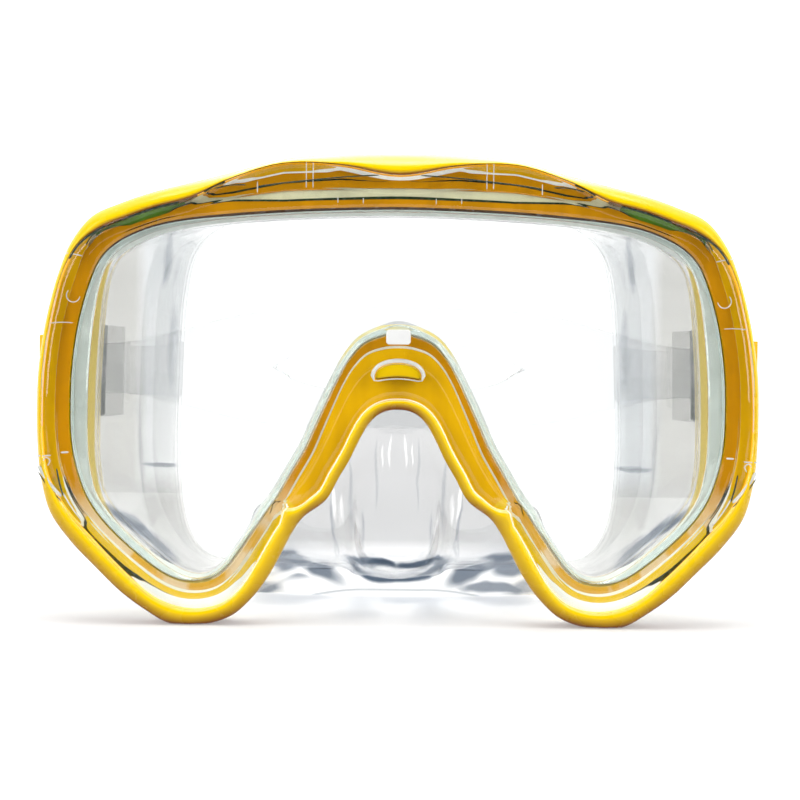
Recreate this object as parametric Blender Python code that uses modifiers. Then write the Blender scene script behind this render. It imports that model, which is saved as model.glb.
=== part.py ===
"""Snorkel mask with one flat lens, clear bezel, yellow frame, clear skirt and strap.

Millimetres are used while shapes are worked out and turned into metres when a
mesh is made.  +X is to the right seen from in front, +Z is up, the front of
the mask faces -Y.  The floor is z = 0: the mask stands on the two lower lobes
of its frame and on the lower lip of its skirt.
"""
import math

import bmesh
import bpy
from mathutils import Matrix, Vector

MM = 0.001
Y_MID = 79.95         # depth, behind the front of the bezel, that becomes y = 0
PIVOT = (24.0, 59.6)  # swivel pin axis: depth and height
ROLL = (85.2, 46.0)   # roller axis: half-width and depth
LEVER = (85.5, 37.6)  # release lever axis: half-width and depth
STRAP_Z = 59.6

# Edge of the lens opening, right half, from the middle of the brow to the top
# of the nose notch: x, z, bezel width outward, frame width outward, and how
# far inward the clear lip reaches.
RIM = [
    (0.0, 99.6, 6.9, 12.4, 1.4), (13.8, 99.3, 9.5, 12.5, 1.6),
    (27.1, 98.7, 10.3, 11.9, 1.7), (39.0, 97.8, 7.6, 9.5, 2.1),
    (48.8, 96.7, 4.3, 8.0, 2.4), (56.7, 95.2, 3.9, 7.4, 2.6),
    (62.9, 93.0, 4.0, 7.4, 2.9), (67.9, 90.1, 5.2, 8.1, 3.2),
    (71.4, 86.3, 6.0, 7.5, 3.7), (73.8, 80.8, 6.0, 7.2, 4.2),
    (75.7, 74.3, 5.9, 7.1, 5.2), (77.1, 67.2, 5.9, 7.1, 6.0),
    (78.0, 58.9, 6.0, 7.3, 6.4), (78.2, 50.5, 6.1, 7.4, 6.4),
    (77.9, 43.4, 6.2, 7.6, 6.1), (76.7, 36.9, 6.4, 8.3, 5.2),
    (74.3, 30.1, 5.2, 9.0, 4.2), (70.7, 24.6, 4.3, 8.6, 3.9),
    (65.7, 19.4, 4.4, 8.5, 3.6), (60.2, 14.7, 4.9, 9.0, 3.5),
    (55.5, 11.4, 5.5, 9.2, 3.1), (51.2, 9.6, 5.6, 10.0, 2.6),
    (47.1, 9.2, 5.6, 9.6, 2.1), (43.3, 10.2, 5.5, 9.3, 2.0),
    (40.0, 12.8, 5.0, 8.7, 2.0), (36.9, 16.8, 4.4, 8.4, 2.0),
    (33.8, 21.4, 3.9, 7.8, 2.2), (31.0, 25.9, 3.9, 7.4, 2.6),
    (28.1, 30.0, 5.2, 7.5, 2.5), (24.8, 35.8, 7.4, 10.0, 2.4),
    (21.5, 41.5, 7.4, 10.0, 2.4), (18.8, 47.5, 7.9, 10.5, 2.4),
    (16.2, 53.2, 8.2, 10.8, 2.4), (13.8, 58.2, 9.0, 11.6, 2.4),
    (11.2, 62.8, 10.6, 13.2, 2.5), (7.9, 66.4, 12.9, 15.5, 2.7),
    (3.8, 68.2, 14.6, 17.2, 3.0), (0.0, 68.9, 15.1, 17.7, 3.4),
]
# The last ten stations end on the bead that arches over the nose: x, z.
NOSE = [
    (22.1, 25.6), (16.9, 29.6), (13.8, 35.0), (11.4, 39.1), (9.8, 42.4),
    (8.3, 45.4), (6.9, 47.7), (5.0, 49.7), (2.6, 50.9), (0.0, 51.2),
]
# Depth of the back of the frame at each station.
BACK = ([13.0] * 5 + [13.4, 13.8, 14.2, 14.6, 15.0] + [15.4] * 5
        + [15.0, 14.4, 13.8, 13.2, 12.8] + [12.4] * 4
        + [12.2, 12.0, 11.6, 9.8] + [8.8] * 10)
# Rim of the face opening: x, z, depth, and width of the outer sealing flap.
FACE = [
    (0.0, 103.2, 54.0, 7.5), (14.2, 102.8, 54.6, 7.6),
    (28.4, 102.0, 56.0, 7.9), (41.0, 100.0, 58.0, 8.4),
    (49.0, 96.6, 60.0, 9.0), (52.8, 92.6, 61.5, 9.6),
    (54.8, 88.8, 62.6, 10.2), (55.9, 85.0, 63.6, 10.6),
    (56.6, 81.2, 64.4, 11.0), (57.2, 77.0, 65.0, 11.0),
    (57.6, 72.4, 65.6, 11.0), (58.0, 67.2, 66.2, 11.0),
    (58.3, 60.0, 66.8, 11.0), (58.6, 52.0, 67.2, 11.0),
    (58.8, 43.6, 67.6, 11.0), (58.8, 35.6, 67.8, 10.8),
    (58.5, 28.8, 67.9, 10.4), (57.8, 22.8, 67.8, 9.8),
    (56.4, 17.4, 67.5, 9.0), (54.0, 12.9, 67.0, 8.4),
    (51.0, 10.2, 66.4, 8.0), (47.6, 9.0, 65.8, 7.6),
    (44.2, 8.6, 65.2, 7.6), (40.8, 8.4, 64.6, 8.0),
    (37.4, 8.3, 64.0, 7.9), (34.0, 8.2, 63.4, 7.8),
    (30.7, 8.1, 62.8, 7.7), (27.6, 8.0, 62.2, 7.80),
    (24.6, 8.0, 61.7, 7.80), (21.7, 8.0, 61.2, 7.80),
    (18.8, 8.0, 60.8, 7.80), (15.9, 8.0, 60.4, 7.80),
    (13.1, 8.0, 60.0, 7.80), (10.4, 8.0, 59.7, 7.80),
    (7.8, 8.0, 59.4, 7.80), (5.2, 8.0, 59.2, 7.80),
    (2.6, 8.0, 59.1, 7.80), (0.0, 8.0, 59.0, 7.80),
]
# Nose pocket: half-width and extra depth of its wall at the last ten stations.
POCKET = [
    (17.8, 27.0), (15.4, 19.0), (14.0, 13.0), (12.9, 9.0), (11.4, 6.0),
    (9.5, 3.7), (7.3, 2.0), (5.0, 0.9), (2.5, 0.2), (0.0, 0.0),
]


def clear_scene():
    for ob in list(bpy.data.objects):
        bpy.data.objects.remove(ob, do_unlink=True)
    for col in list(bpy.data.collections):
        bpy.data.collections.remove(col)


def mirrored(rows, flips):
    """Right-half rows joined to their mirror images as one closed loop."""
    out = [tuple(r) for r in rows]
    for r in reversed(rows[1:-1]):
        out.append(tuple(-v if k in flips else v for k, v in enumerate(r)))
    return out


def outward(loop):
    """Unit vectors pointing out of a loop that runs clockwise in x, z."""
    n = len(loop)
    res = []
    for i in range(n):
        a, b = loop[i - 1], loop[(i + 1) % n]
        dx, dz = b[0] - a[0], b[1] - a[1]
        d = math.hypot(dx, dz)
        res.append((-dz / d, dx / d))
    return res


def lerp(a, b, f):
    return a + (b - a) * f


def stations():
    """Everything known at each station round the lens opening."""
    loop = mirrored(RIM, {0})
    nrm = outward(loop)
    rows = []
    for i, (x, z, b, r, s) in enumerate(RIM):
        if i < 28:
            ox, oz = x + nrm[i][0] * r, z + nrm[i][1] * r
        else:
            ox, oz = NOSE[i - 28]
        rows.append((x, z, ox, oz, b, max(s, 2.2), BACK[i]))
    full = mirrored(rows, {0, 2})
    res = []
    for i, (x, z, ox, oz, b, s, back) in enumerate(full):
        r = math.hypot(ox - x, oz - z)
        k = min(i, len(full) - i)
        res.append(dict(c=(x, z), o=(ox, oz), n=nrm[i], b=min(b, r - 1.0),
                        r=r, s=s, back=back, k=k, side=1 if i < 38 else -1))
    return res


def at(st, t, y):
    """Point a distance t outward from the lens opening at depth y."""
    (x, z), (ox, oz), r = st["c"], st["o"], st["r"]
    if t >= 0:
        return (x + (ox - x) * t / r, y, z + (oz - z) * t / r)
    return (x + st["n"][0] * t, y, z + st["n"][1] * t)


# ---------------------------------------------------------------- mesh makers
def point(x, y, z):
    """Millimetres, with depth measured from the bezel, to metres."""
    return Vector((x * MM, (y - Y_MID) * MM, z * MM))


def place(ob, col, home, parent=None):
    """Put an object at its home, or keep it there under an axis empty."""
    col.objects.link(ob)
    ob.parent = parent
    ob.location = point(*home) - (parent.location if parent else Vector())
    return ob


def axis_empty(name, col, home):
    """Marks a joint's axis; the pieces that turn about it hang from it."""
    ob = bpy.data.objects.new(name, None)
    ob.empty_display_size = 0.01
    return place(ob, col, home)


def loft_half(name, sections, col):
    """Closed sections from the brow to the nose, joined and mirrored in x = 0."""
    m, n = len(sections), len(sections[0])
    bm = bmesh.new()
    rows = [[bm.verts.new(point(*p)) for p in sec] for sec in sections]
    for i in range(m - 1):
        for k in range(n):
            l = (k + 1) % n
            bm.faces.new((rows[i][k], rows[i][l], rows[i + 1][l], rows[i + 1][k]))
    # The winding is turned so that faces look away from their section's middle.
    bm.faces.ensure_lookup_table()
    bm.normal_update()
    way = 0.0
    for q, face in enumerate(bm.faces):
        sec = rows[q // n]
        mid = sum((v.co for v in sec), Vector()) / n
        if q // n < 3:
            way += face.normal.dot(face.calc_center_median() - mid)
    if way < 0:
        bmesh.ops.reverse_faces(bm, faces=bm.faces)
    mesh = bpy.data.meshes.new(name)
    bm.to_mesh(mesh)
    bm.free()
    ob = bpy.data.objects.new(name, mesh)
    place(ob, col, (0.0, Y_MID, 0.0))
    mod = ob.modifiers.new("other_half", "MIRROR")
    mod.use_axis[0] = True
    mod.merge_threshold = 0.00002
    return ob


TURN = {
    "X": Matrix(((0, 0, 1), (1, 0, 0), (0, 1, 0))).to_4x4(),
    "Y": Matrix(((1, 0, 0), (0, 0, -1), (0, 1, 0))).to_4x4(),
    "Z": Matrix.Identity(4),
}


def plate(name, outlines, axis, lo, hi, col, home=(0.0, Y_MID, 0.0), parent=None):
    """Flat outline, with any holes inside it, given thickness along an axis.

    Outlines are (y, z) for axis X, (x, z) for axis Y and (x, y) for axis Z.
    """
    curve = bpy.data.curves.new(name, "CURVE")
    curve.dimensions = "2D"
    curve.fill_mode = "BOTH"
    curve.extrude = abs(hi - lo) / 2 * MM
    curve.resolution_u = 1
    hx, hy, hz = home
    for outline in outlines:
        spline = curve.splines.new("POLY")
        spline.points.add(len(outline) - 1)
        for pt, (u, v) in zip(spline.points, outline):
            du, dv = {"X": (u - hy, v - hz), "Y": (u - hx, v - hz), "Z": (u - hx, v - hy)}[axis]
            pt.co = (du * MM, dv * MM, 0.0, 1.0)
        spline.use_cyclic_u = True
    flat = bpy.data.objects.new(name, curve)
    bpy.context.scene.collection.objects.link(flat)
    mid = (lo + hi) / 2
    shift = {"X": (mid - hx, 0, 0), "Y": (0, mid - hy, 0), "Z": (0, 0, mid - hz)}[axis]
    dg = bpy.context.evaluated_depsgraph_get()
    mesh = bpy.data.meshes.new_from_object(flat.evaluated_get(dg))
    mesh.transform(Matrix.Translation(Vector(shift) * MM) @ TURN[axis])
    bpy.data.objects.remove(flat)
    bm = bmesh.new()
    bm.from_mesh(mesh)
    bmesh.ops.remove_doubles(bm, verts=bm.verts, dist=1e-6)
    bmesh.ops.recalc_face_normals(bm, faces=bm.faces)
    bm.to_mesh(mesh)
    bm.free()
    mesh.name = name
    return place(bpy.data.objects.new(name, mesh), col, home, parent)


def turned(name, profile, axis, steps, col, home, parent=None, loop=False):
    """Profile of (radius, distance along the axis), spun round the axis."""
    mesh = bpy.data.meshes.new(name)
    n = len(profile)
    edges = [(k, k + 1) for k in range(n - 1)] + ([(n - 1, 0)] if loop else [])
    mesh.from_pydata([(r * MM, 0.0, h * MM) for r, h in profile], edges, [])
    ob = bpy.data.objects.new(name, mesh)
    place(ob, col, home, parent)
    if axis == "X":
        ob.rotation_euler = (0.0, math.pi / 2, 0.0)
    mod = ob.modifiers.new("spin", "SCREW")
    mod.steps = mod.render_steps = steps
    mod.use_merge_vertices = True
    mod.merge_threshold = 0.00001
    return ob


def rod(name, r, length, axis, segments, col, home):
    """Plain round cutter."""
    mesh = bpy.data.meshes.new(name)
    bm = bmesh.new()
    bmesh.ops.create_cone(bm, cap_ends=True, segments=segments, radius1=r * MM,
                          radius2=r * MM, depth=length * MM)
    bm.to_mesh(mesh)
    bm.free()
    ob = bpy.data.objects.new(name, mesh)
    place(ob, col, home)
    if axis == "X":
        ob.rotation_euler = (0.0, math.pi / 2, 0.0)
    return ob


def circle(cu, cv, r, n):
    return [(cu + r * math.cos(2 * math.pi * k / n),
             cv + r * math.sin(2 * math.pi * k / n)) for k in range(n)]


def boolean(ob, other, how):
    mod = ob.modifiers.new(how.lower(), "BOOLEAN")
    mod.operation = how
    mod.solver = "EXACT"
    mod.object = other
    return mod


# ------------------------------------------------------------------- the ring
def build_frame(ring, col, tools):
    """Moulded main frame: seat for the bezel, raised outer rim, rear lip."""
    sections = []
    for st in ring[:38]:
        b, r, back = st["b"] + 0.15, st["r"], st["back"]
        e = r - b
        nose = st["k"] >= 27
        lip = 0.1 if nose else (-0.35 if st["k"] == 26 else -0.7)
        step = back - 0.9 if nose else 9.8
        crest = -0.7 - 0.22 * min(e, 3.0)
        poly = [
            (0.1, 2.7), (b * 0.5 + 0.05, 2.7), (b, 2.7), (b, 0.1),
            (b + 0.22 * e, crest + 0.25), (b + 0.48 * e, crest),
            (b + 0.80 * e, crest + 0.9), (r, crest + 2.4 + 0.2 * e),
            (r, back - 1.4), (r - 0.7, back), (r * 0.5, back), (lip, back),
            (lip, step), (0.1, step),
        ]
        sec = [at(st, t, y) for t, y in poly]
        sections.append([(x, y, max(z, 0.0)) for x, y, z in sec])
    ob = loft_half("rear_frame", sections, col)
    cy, cz = PIVOT
    arc = [(cy + 6.4 * math.cos(a), cz + 6.4 * math.sin(a))
           for a in (math.pi * (k / 10.0 - 0.5) for k in range(11))]
    lug = [(12.0, cz - 8.0), (16.0, cz - 7.6)] + arc + [(16.0, cz + 7.6), (12.0, cz + 8.0)]
    for side, tag in ((1, "right"), (-1, "left")):
        ear = plate("lug_" + tag, [lug], "X", 80.0 * side, 83.2 * side, tools)
        boolean(ob, ear, "UNION")
        hole = rod("lug_hole_" + tag, 2.12, 10.0, "X", 16, tools, (82.0 * side, cy, cz))
        boolean(ob, hole, "DIFFERENCE")
    return ob


def build_bezel(ring, col, tools):
    """Clear retaining bezel over the frame, with the window above the nose."""
    sections = []
    for st in ring[:38]:
        b, s = st["b"] - 0.15, st["s"]
        tip = -0.72 * s
        poly = [(tip, 2.3), (tip, 1.3), (tip + 0.35, 0.75), (0.0, 0.1),
                (b * 0.45, 0.0), (b - 0.7, 0.0), (b, 0.6), (b, 2.3)]
        sections.append([at(st, t, y) for t, y in poly])
    ob = loft_half("front_bezel", sections, col)
    top = [(5.4 * math.sin(a), 58.2 + 4.6 * math.cos(a) ** 0.6)
           for a in (math.pi * (0.5 - k / 12.0) * 0.96 for k in range(13))]
    low = [(-5.2 + 10.4 * k / 6.0, 58.3 + 0.9 * (1 - (k / 3.0 - 1) ** 2)) for k in range(1, 6)]
    cut = plate("crescent_cut", [top + low], "Y", -2.0, 5.0, tools)
    boolean(ob, cut, "DIFFERENCE")
    return ob


def build_lens(ring, col):
    """Flat tempered glass, cut to the same outline as the opening."""
    outline = []
    for st in ring:
        x, _, z = at(st, -0.3, 0.0)
        outline.append((x, z))
    return plate("lens", [outline], "Y", 2.6, 6.1, col)


# ------------------------------------------------------------------ the skirt
def skirt_rows(ring):
    """Middle surface of the skirt: for each station, root to outer flap."""
    face = mirrored(FACE, {0})
    fn = outward(face)
    cols = []
    for i, st in enumerate(ring):
        fx, fz, fy, flap = face[i]
        k, side = st["k"], st["side"]
        path = []
        if k < 28:
            x1, y1, z1 = at(st, -st["s"] + 0.55, 10.2)
            x2, y2, z2 = at(st, -st["s"] + 0.45, 13.6)
            path += [(x1, y1, z1), (x2, y2, z2)]
            for f in (0.10, 0.24, 0.40, 0.57, 0.74, 0.89):
                path.append((lerp(x2, fx, f), lerp(y2, fy - 0.6, f), lerp(z2, fz, f)))
        else:
            (ox, oz) = st["o"]
            pw, pd = POCKET[k - 28]
            pw *= 1 if st["c"][0] >= 0 else -1
            path.append(at(st, 0.0, 10.05)[:1] + (10.05,) + at(st, 0.0, 0)[2:])
            path.append(at(st, st["r"] * 0.45, 10.1))
            path.append(at(st, st["r"] * 0.90, 10.3))
            path.append((lerp(ox, pw, 0.45), 9.0 + 0.50 * pd, lerp(oz, 24.0, 0.34)))
            path.append((pw, 4.4 + pd, lerp(oz, 24.0, 0.74)))
            path.append((pw * 0.97, 3.6 + pd, 17.6))
            path.append((lerp(pw * 0.86, fx, 0.15), 9.4 + pd * 0.86, 11.4))
            path.append((lerp(pw, fx, 0.55), 30.0 + pd * 0.4, 9.4))
        nx, nz = fn[i]
        path.append((fx, fy, fz))
        path.append((fx + nx * 1.5, fy + 1.5, fz + nz * 1.5))
        path.append((fx + nx * flap * 0.55, fy + 1.6, fz + nz * flap * 0.55))
        path.append((fx + nx * flap, fy - 0.4, fz + nz * flap))
        cols.append(path)
    # The web between the nose pocket and the lobes is drawn out smooth.
    m = len(cols)
    for _ in range(16):
        old = [list(c) for c in cols]
        for i, st in enumerate(ring):
            w = 0.8 * max(0.0, 1.0 - abs(st["k"] - 27.8) / 4.8)
            if w <= 0.0:
                continue
            for k in range(2, 8):
                p = [lerp(old[i][k][j],
                          0.3 * (old[i - 1][k][j] + old[(i + 1) % m][k][j])
                          + 0.2 * (old[i][k - 1][j] + old[i][k + 1][j]), w) for j in range(3)]
                if k == 2 and st["k"] >= 28:
                    p[1] = max(p[1], 10.3)
                cols[i][k] = tuple(p)
    return cols


def build_skirt(ring, col):
    """Soft clear skirt: flange behind the lens, walls, nose pocket, face seal."""
    cols = skirt_rows(ring)
    m, n = len(cols), len(cols[0])
    thick = [1.10, 1.15, 1.25, 1.3, 1.4, 1.4, 1.4, 1.4, 1.5, 1.5, 1.1, 0.7]
    sections = []
    for i, st in enumerate(ring[:38]):
        inner, outer = [], []
        for k in range(n):
            p = Vector(cols[i][k])
            along = Vector(cols[i][min(k + 1, n - 1)]) - Vector(cols[i][max(k - 1, 0)])
            around = Vector(cols[(i + 1) % m][k]) - Vector(cols[i - 1][k])
            nv = along.cross(around)
            if i in (0, 37):
                nv.x = 0.0
            nv.normalize()
            if k == n - 4:
                nv = (nv + Vector((0, 0.35, 0))).normalized()
            half = nv * (thick[k] / 2)
            inner.append(tuple(p + half))
            outer.append(tuple(p - half))
        s = st["s"]
        sec = ([at(st, -s, 6.4)] + inner + outer[::-1]
               + [at(st, -0.25, 9.25), at(st, -0.25, 6.4)])
        sections.append([(x, y, max(z, 0.0)) for x, y, z in sec])
    return loft_half("skirt", sections, col)


# ------------------------------------------------------------------ the strap
def smooth(pts, per):
    """Catmull-Rom curve through points, ends kept."""
    out = []
    ext = [pts[0]] + list(pts) + [pts[-1]]
    for i in range(1, len(ext) - 2):
        p0, p1, p2, p3 = ext[i - 1:i + 3]
        for k in range(per):
            t = k / per
            out.append(tuple(0.5 * ((2 * b) + (c - a) * t + (2 * a - 5 * b + 4 * c - d) * t * t
                                    + (3 * b - a - 3 * c + d) * t ** 3)
                             for a, b, c, d in zip(p0, p1, p2, p3)))
    out.append(tuple(pts[-1]))
    return out


def strap_half():
    """Right half of the strap's middle line: x, y, half height."""
    rx, ry = ROLL
    tail = [(85.2, 79.0, 6.6), (85.3, 70.0, 6.8), (85.6, 62.0, 6.8), (87.0, 54.5, 6.8),
            (rx + 3.9, 48.5, 6.8)]
    turn = [(rx + 3.9 * math.cos(a), ry - 3.9 * math.sin(a), 6.8)
            for a in (math.pi * k / 10.0 for k in range(11))]
    run = smooth([(rx - 3.9, 46.0, 6.8), (81.3, 56.0, 6.8), (81.3, 66.0, 6.8), (80.6, 78.0, 6.8),
                  (78.0, 92.0, 7.0), (72.5, 108.0, 8.2), (62.5, 125.0, 11.4), (48.5, 140.0, 15.8),
                  (31.0, 151.5, 18.2), (14.0, 158.3, 18.8), (0.0, 160.2, 19.0)], 3)
    return smooth(tail, 2) + turn + run[1:]


def build_strap(col, tools, parent):
    """One flat band: round both rollers, widening to a slotted head pad."""
    half = strap_half()
    path = half + [(-x, y, h) for x, y, h in reversed(half[:-1])]
    home = (0.0, PIVOT[0], PIVOT[1])
    base = point(*home)
    bm = bmesh.new()
    rows = []
    for x, y, h in path:
        rows.append([bm.verts.new(point(x, y, STRAP_Z + h * f) - base) for f in (-1, 0, 1)])
    for a, b in zip(rows, rows[1:]):
        for k in (0, 1):
            bm.faces.new((a[k], b[k], b[k + 1], a[k + 1]))
    mesh = bpy.data.meshes.new("strap")
    bm.to_mesh(mesh)
    bm.free()
    ob = place(bpy.data.objects.new("strap", mesh), col, home, parent)
    mod = ob.modifiers.new("band", "SOLIDIFY")
    mod.thickness = 2.2 * MM
    mod.offset = 0.0
    mod.use_even_offset = True
    slot = []
    for a in (2 * math.pi * k / 24 for k in range(24)):
        c, s = math.cos(a), math.sin(a)
        slot.append((36.0 * math.copysign(abs(c) ** 0.75, c), STRAP_Z + 7.6 * s))
    boolean(ob, plate("strap_slot", [slot], "Y", 128.0, 175.0, tools), "DIFFERENCE")
    return ob


# ---------------------------------------------------------------- the buckles
def build_side(tag, side, col, tools):
    """All pieces of one buckle; the left set is the mirror of the right."""
    py, pz = PIVOT
    rx, ry = ROLL
    lx, ly = LEVER
    lo, hi = STRAP_Z - 11.6, STRAP_Z + 11.6
    hub = (78.0 * side, py, pz)
    drum = (rx * side, ry, STRAP_Z)
    pawl = (lx * side, ly, STRAP_Z)
    tilt = axis_empty("buckle_axis_" + tag, col, hub)
    spin = axis_empty("roller_axis_" + tag, col, drum)
    nod = axis_empty("lever_axis_" + tag, col, pawl)

    def xs(outline):
        return [(x * side, y) for x, y in outline]

    def named(base):
        return base + "_" + tag

    # Swivel pin: headed on the inside, held by an open clip on the outside.
    pin = [(0.0, 8.5), (1.5, 8.5), (2.0, 8.0), (2.0, -1.9), (3.3, -2.0), (3.3, -3.0),
           (2.4, -3.4), (0.0, -3.4)]
    ob = turned(named("swivel_pin"), pin, "X", 16, col, hub)
    ob.rotation_euler = (0.0, math.pi / 2 * side, 0.0)
    arc = [math.radians(28 + 304 * k / 14) for k in range(15)]
    clip = ([(py + 3.9 * math.cos(a), pz + 3.9 * math.sin(a)) for a in arc]
            + [(py + 2.3 * math.cos(a), pz + 2.3 * math.sin(a)) for a in reversed(arc)])
    plate(named("pin_clip"), [clip], "X", 83.7 * side, 84.6 * side, col, hub)

    # Buckle body: a web that swings on the pin, and two cheeks for the pins.
    tongue = [(py + 7.0 * math.cos(a), pz + 7.0 * math.sin(a))
              for a in (math.pi * (0.5 + k / 10.0) for k in range(11))]
    web = tongue + [(30.0, pz - 7.2), (34.0, lo + 1.5), (36.0, lo), (53.0, lo),
                    (53.0, hi), (36.0, hi), (34.0, hi - 1.5), (30.0, pz + 7.2)]
    body = plate(named("buckle_body"), [web, circle(py, pz, 2.12, 16)], "X",
                 76.6 * side, 79.4 * side, col, hub, tilt)
    cheek = xs([(78.0, 34.0), (87.6, 34.0), (88.6, 36.0), (88.6, 50.5), (87.0, 53.0), (78.0, 53.0)])
    holes = [circle(rx * side, ry, 1.16, 12), circle(lx * side, ly, 1.06, 12)]
    for word, z in (("low", lo), ("high", hi - 2.3)):
        boolean(body, plate(named("cheek_" + word), [cheek] + holes, "Z", z, z + 2.3, tools), "UNION")

    wall = hi - 2.7 - STRAP_Z
    turned(named("strap_roller"), [(2.4, wall), (2.4, -wall), (1.15, -wall), (1.15, wall)],
           "Z", 16, col, drum, spin, loop=True)
    end = hi - STRAP_Z
    headed = [(0.0, end + 1.1), (1.4, end + 1.1), (1.8, end + 0.9), (1.8, end + 0.25),
              (1.05, end + 0.2), (1.05, -end - 0.6), (0.8, -end - 0.9), (0.0, -end - 0.9)]
    turned(named("roller_pin"), headed, "Z", 12, col, drum, tilt)

    # Release lever: a toothed pawl with a thumb tab, on its own sprung pin.
    nose = xs([(83.5, 36.0), (83.6, 39.4), (84.6, 40.3), (86.3, 40.4), (87.6, 39.2), (90.2, 35.0),
               (90.4, 32.6), (89.4, 32.0), (87.2, 34.6), (85.2, 35.0)])
    plate(named("release_lever"), [nose, circle(lx * side, ly, 1.06, 12)], "Z",
          lo + 2.8, hi - 2.8, col, pawl, nod)
    slim = [(max(r - 0.1, 0.0), h) for r, h in headed]
    turned(named("lever_pin"), slim, "Z", 12, col, pawl, tilt)
    leaf = xs([(79.75, 34.6), (80.2, 34.6), (80.5, 37.6), (81.5, 39.0), (82.4, 38.0), (82.2, 36.2),
               (82.7, 36.2), (82.9, 38.2), (81.6, 39.8), (80.1, 38.0)])
    plate(named("lever_spring"), [leaf], "Z", 56.0, 63.2, col, pawl, tilt)


def build_keeper(tag, side, col, swing):
    """Loop that holds the free end of the strap against the strap itself."""
    outer = [(79.0, 50.9), (87.9, 50.9), (88.6, 51.6), (88.6, 67.6), (87.9, 68.3), (79.0, 68.3),
             (78.3, 67.6), (78.3, 51.6)]
    inner = [(79.5, 52.3), (87.3, 52.3), (87.3, 66.9), (79.5, 66.9)]
    flat = [[(x * side, z) for x, z in loop] for loop in (outer, inner)]
    return plate("strap_keeper_" + tag, flat, "Y", 61.5, 65.5, col,
                 (83.4 * side, 63.5, STRAP_Z), swing)


def build_clip(col):
    """Small lock tab clipped over the bezel at the top of the nose notch."""
    outline = [(-2.4, 66.7), (2.4, 66.7), (2.9, 67.2), (2.9, 69.7), (2.4, 70.2), (-2.4, 70.2),
               (-2.9, 69.7), (-2.9, 67.2)]
    ob = plate("nose_clip", [outline], "Y", -1.35, -0.35, col, (0.0, -0.85, 68.45))
    mod = ob.modifiers.new("soft_edge", "BEVEL")
    mod.width = 0.2 * MM
    mod.segments = 1
    mod.limit_method = "ANGLE"
    mod.angle_limit = math.radians(60)
    return ob


LOOKS = {
    "rear_frame": ((0.95, 0.62, 0.01, 1), 0.25, 0.0, 0.0),
    "front_bezel": ((0.90, 0.93, 0.90, 1), 0.04, 0.0, 0.9),
    "lens": ((0.86, 0.95, 0.90, 1), 0.01, 0.0, 0.95),
    "skirt": ((0.90, 0.91, 0.90, 1), 0.20, 0.0, 0.8),
    "nose_clip": ((0.92, 0.92, 0.90, 1), 0.35, 0.0, 0.0),
    "strap": ((0.88, 0.90, 0.89, 1), 0.25, 0.0, 0.7),
    "swivel_pin": ((0.62, 0.63, 0.64, 1), 0.25, 1.0, 0.0),
    "pin_clip": ((0.30, 0.31, 0.32, 1), 0.35, 1.0, 0.0),
    "buckle_body": ((0.10, 0.16, 0.13, 1), 0.35, 0.0, 0.0),
    "strap_roller": ((0.82, 0.83, 0.82, 1), 0.40, 0.0, 0.0),
    "roller_pin": ((0.70, 0.70, 0.71, 1), 0.22, 1.0, 0.0),
    "release_lever": ((0.93, 0.60, 0.02, 1), 0.32, 0.0, 0.0),
    "lever_pin": ((0.68, 0.69, 0.70, 1), 0.22, 1.0, 0.0),
    "lever_spring": ((0.55, 0.56, 0.58, 1), 0.28, 1.0, 0.0),
    "strap_keeper": ((0.85, 0.87, 0.86, 1), 0.40, 0.0, 0.3),
}


def paint(ob, look):
    colour, rough, metal, through = look
    mat = bpy.data.materials.new(ob.name)
    mat.use_nodes = True
    bsdf = mat.node_tree.nodes["Principled BSDF"]
    bsdf.inputs["Base Color"].default_value = colour
    bsdf.inputs["Roughness"].default_value = rough
    bsdf.inputs["Metallic"].default_value = metal
    bsdf.inputs["Transmission Weight"].default_value = through
    ob.data.materials.append(mat)


def main():
    clear_scene()
    scene = bpy.context.scene
    col = bpy.data.collections.new("snorkel_mask")
    tools = bpy.data.collections.new("cutting_shapes")
    scene.collection.children.link(col)
    scene.collection.children.link(tools)
    ring = stations()
    build_frame(ring, col, tools)
    build_bezel(ring, col, tools)
    build_lens(ring, col)
    build_skirt(ring, col)
    build_clip(col)
    swing = axis_empty("strap_axis", col, (0.0, PIVOT[0], PIVOT[1]))
    build_strap(col, tools, swing)
    for tag, side in (("right", 1), ("left", -1)):
        build_side(tag, side, col, tools)
        build_keeper(tag, side, col, swing)
    for ob in tools.objects:
        ob.hide_render = True
        ob.display_type = "WIRE"
    for ob in col.objects:
        if ob.type != "MESH":
            continue
        base = ob.name
        for end in ("_left", "_right"):
            if base.endswith(end):
                base = base[:-len(end)]
        paint(ob, LOOKS[base])
        ob.data.shade_smooth()
        ob.data.set_sharp_from_angle(angle=math.radians(35))


main()
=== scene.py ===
"""Looks for the snorkel mask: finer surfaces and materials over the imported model."""
import math

import bmesh
import bpy
from mathutils import Matrix, Vector


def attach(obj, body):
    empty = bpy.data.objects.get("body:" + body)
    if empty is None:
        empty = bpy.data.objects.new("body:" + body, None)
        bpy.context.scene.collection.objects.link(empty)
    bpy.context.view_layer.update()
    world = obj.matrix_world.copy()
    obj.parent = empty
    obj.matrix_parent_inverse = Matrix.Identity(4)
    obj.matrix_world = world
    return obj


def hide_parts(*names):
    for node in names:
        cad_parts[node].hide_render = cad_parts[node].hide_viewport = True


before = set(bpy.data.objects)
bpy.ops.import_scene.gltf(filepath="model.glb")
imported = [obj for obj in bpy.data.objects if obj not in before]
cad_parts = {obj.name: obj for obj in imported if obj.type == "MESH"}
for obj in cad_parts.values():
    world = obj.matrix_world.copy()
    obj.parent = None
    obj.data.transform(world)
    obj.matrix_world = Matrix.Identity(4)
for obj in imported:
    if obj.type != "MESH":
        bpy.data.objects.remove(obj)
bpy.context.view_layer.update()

MM = 0.001
Y_MID = 79.95         # depth, behind the front of the bezel, that is y = 0
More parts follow.
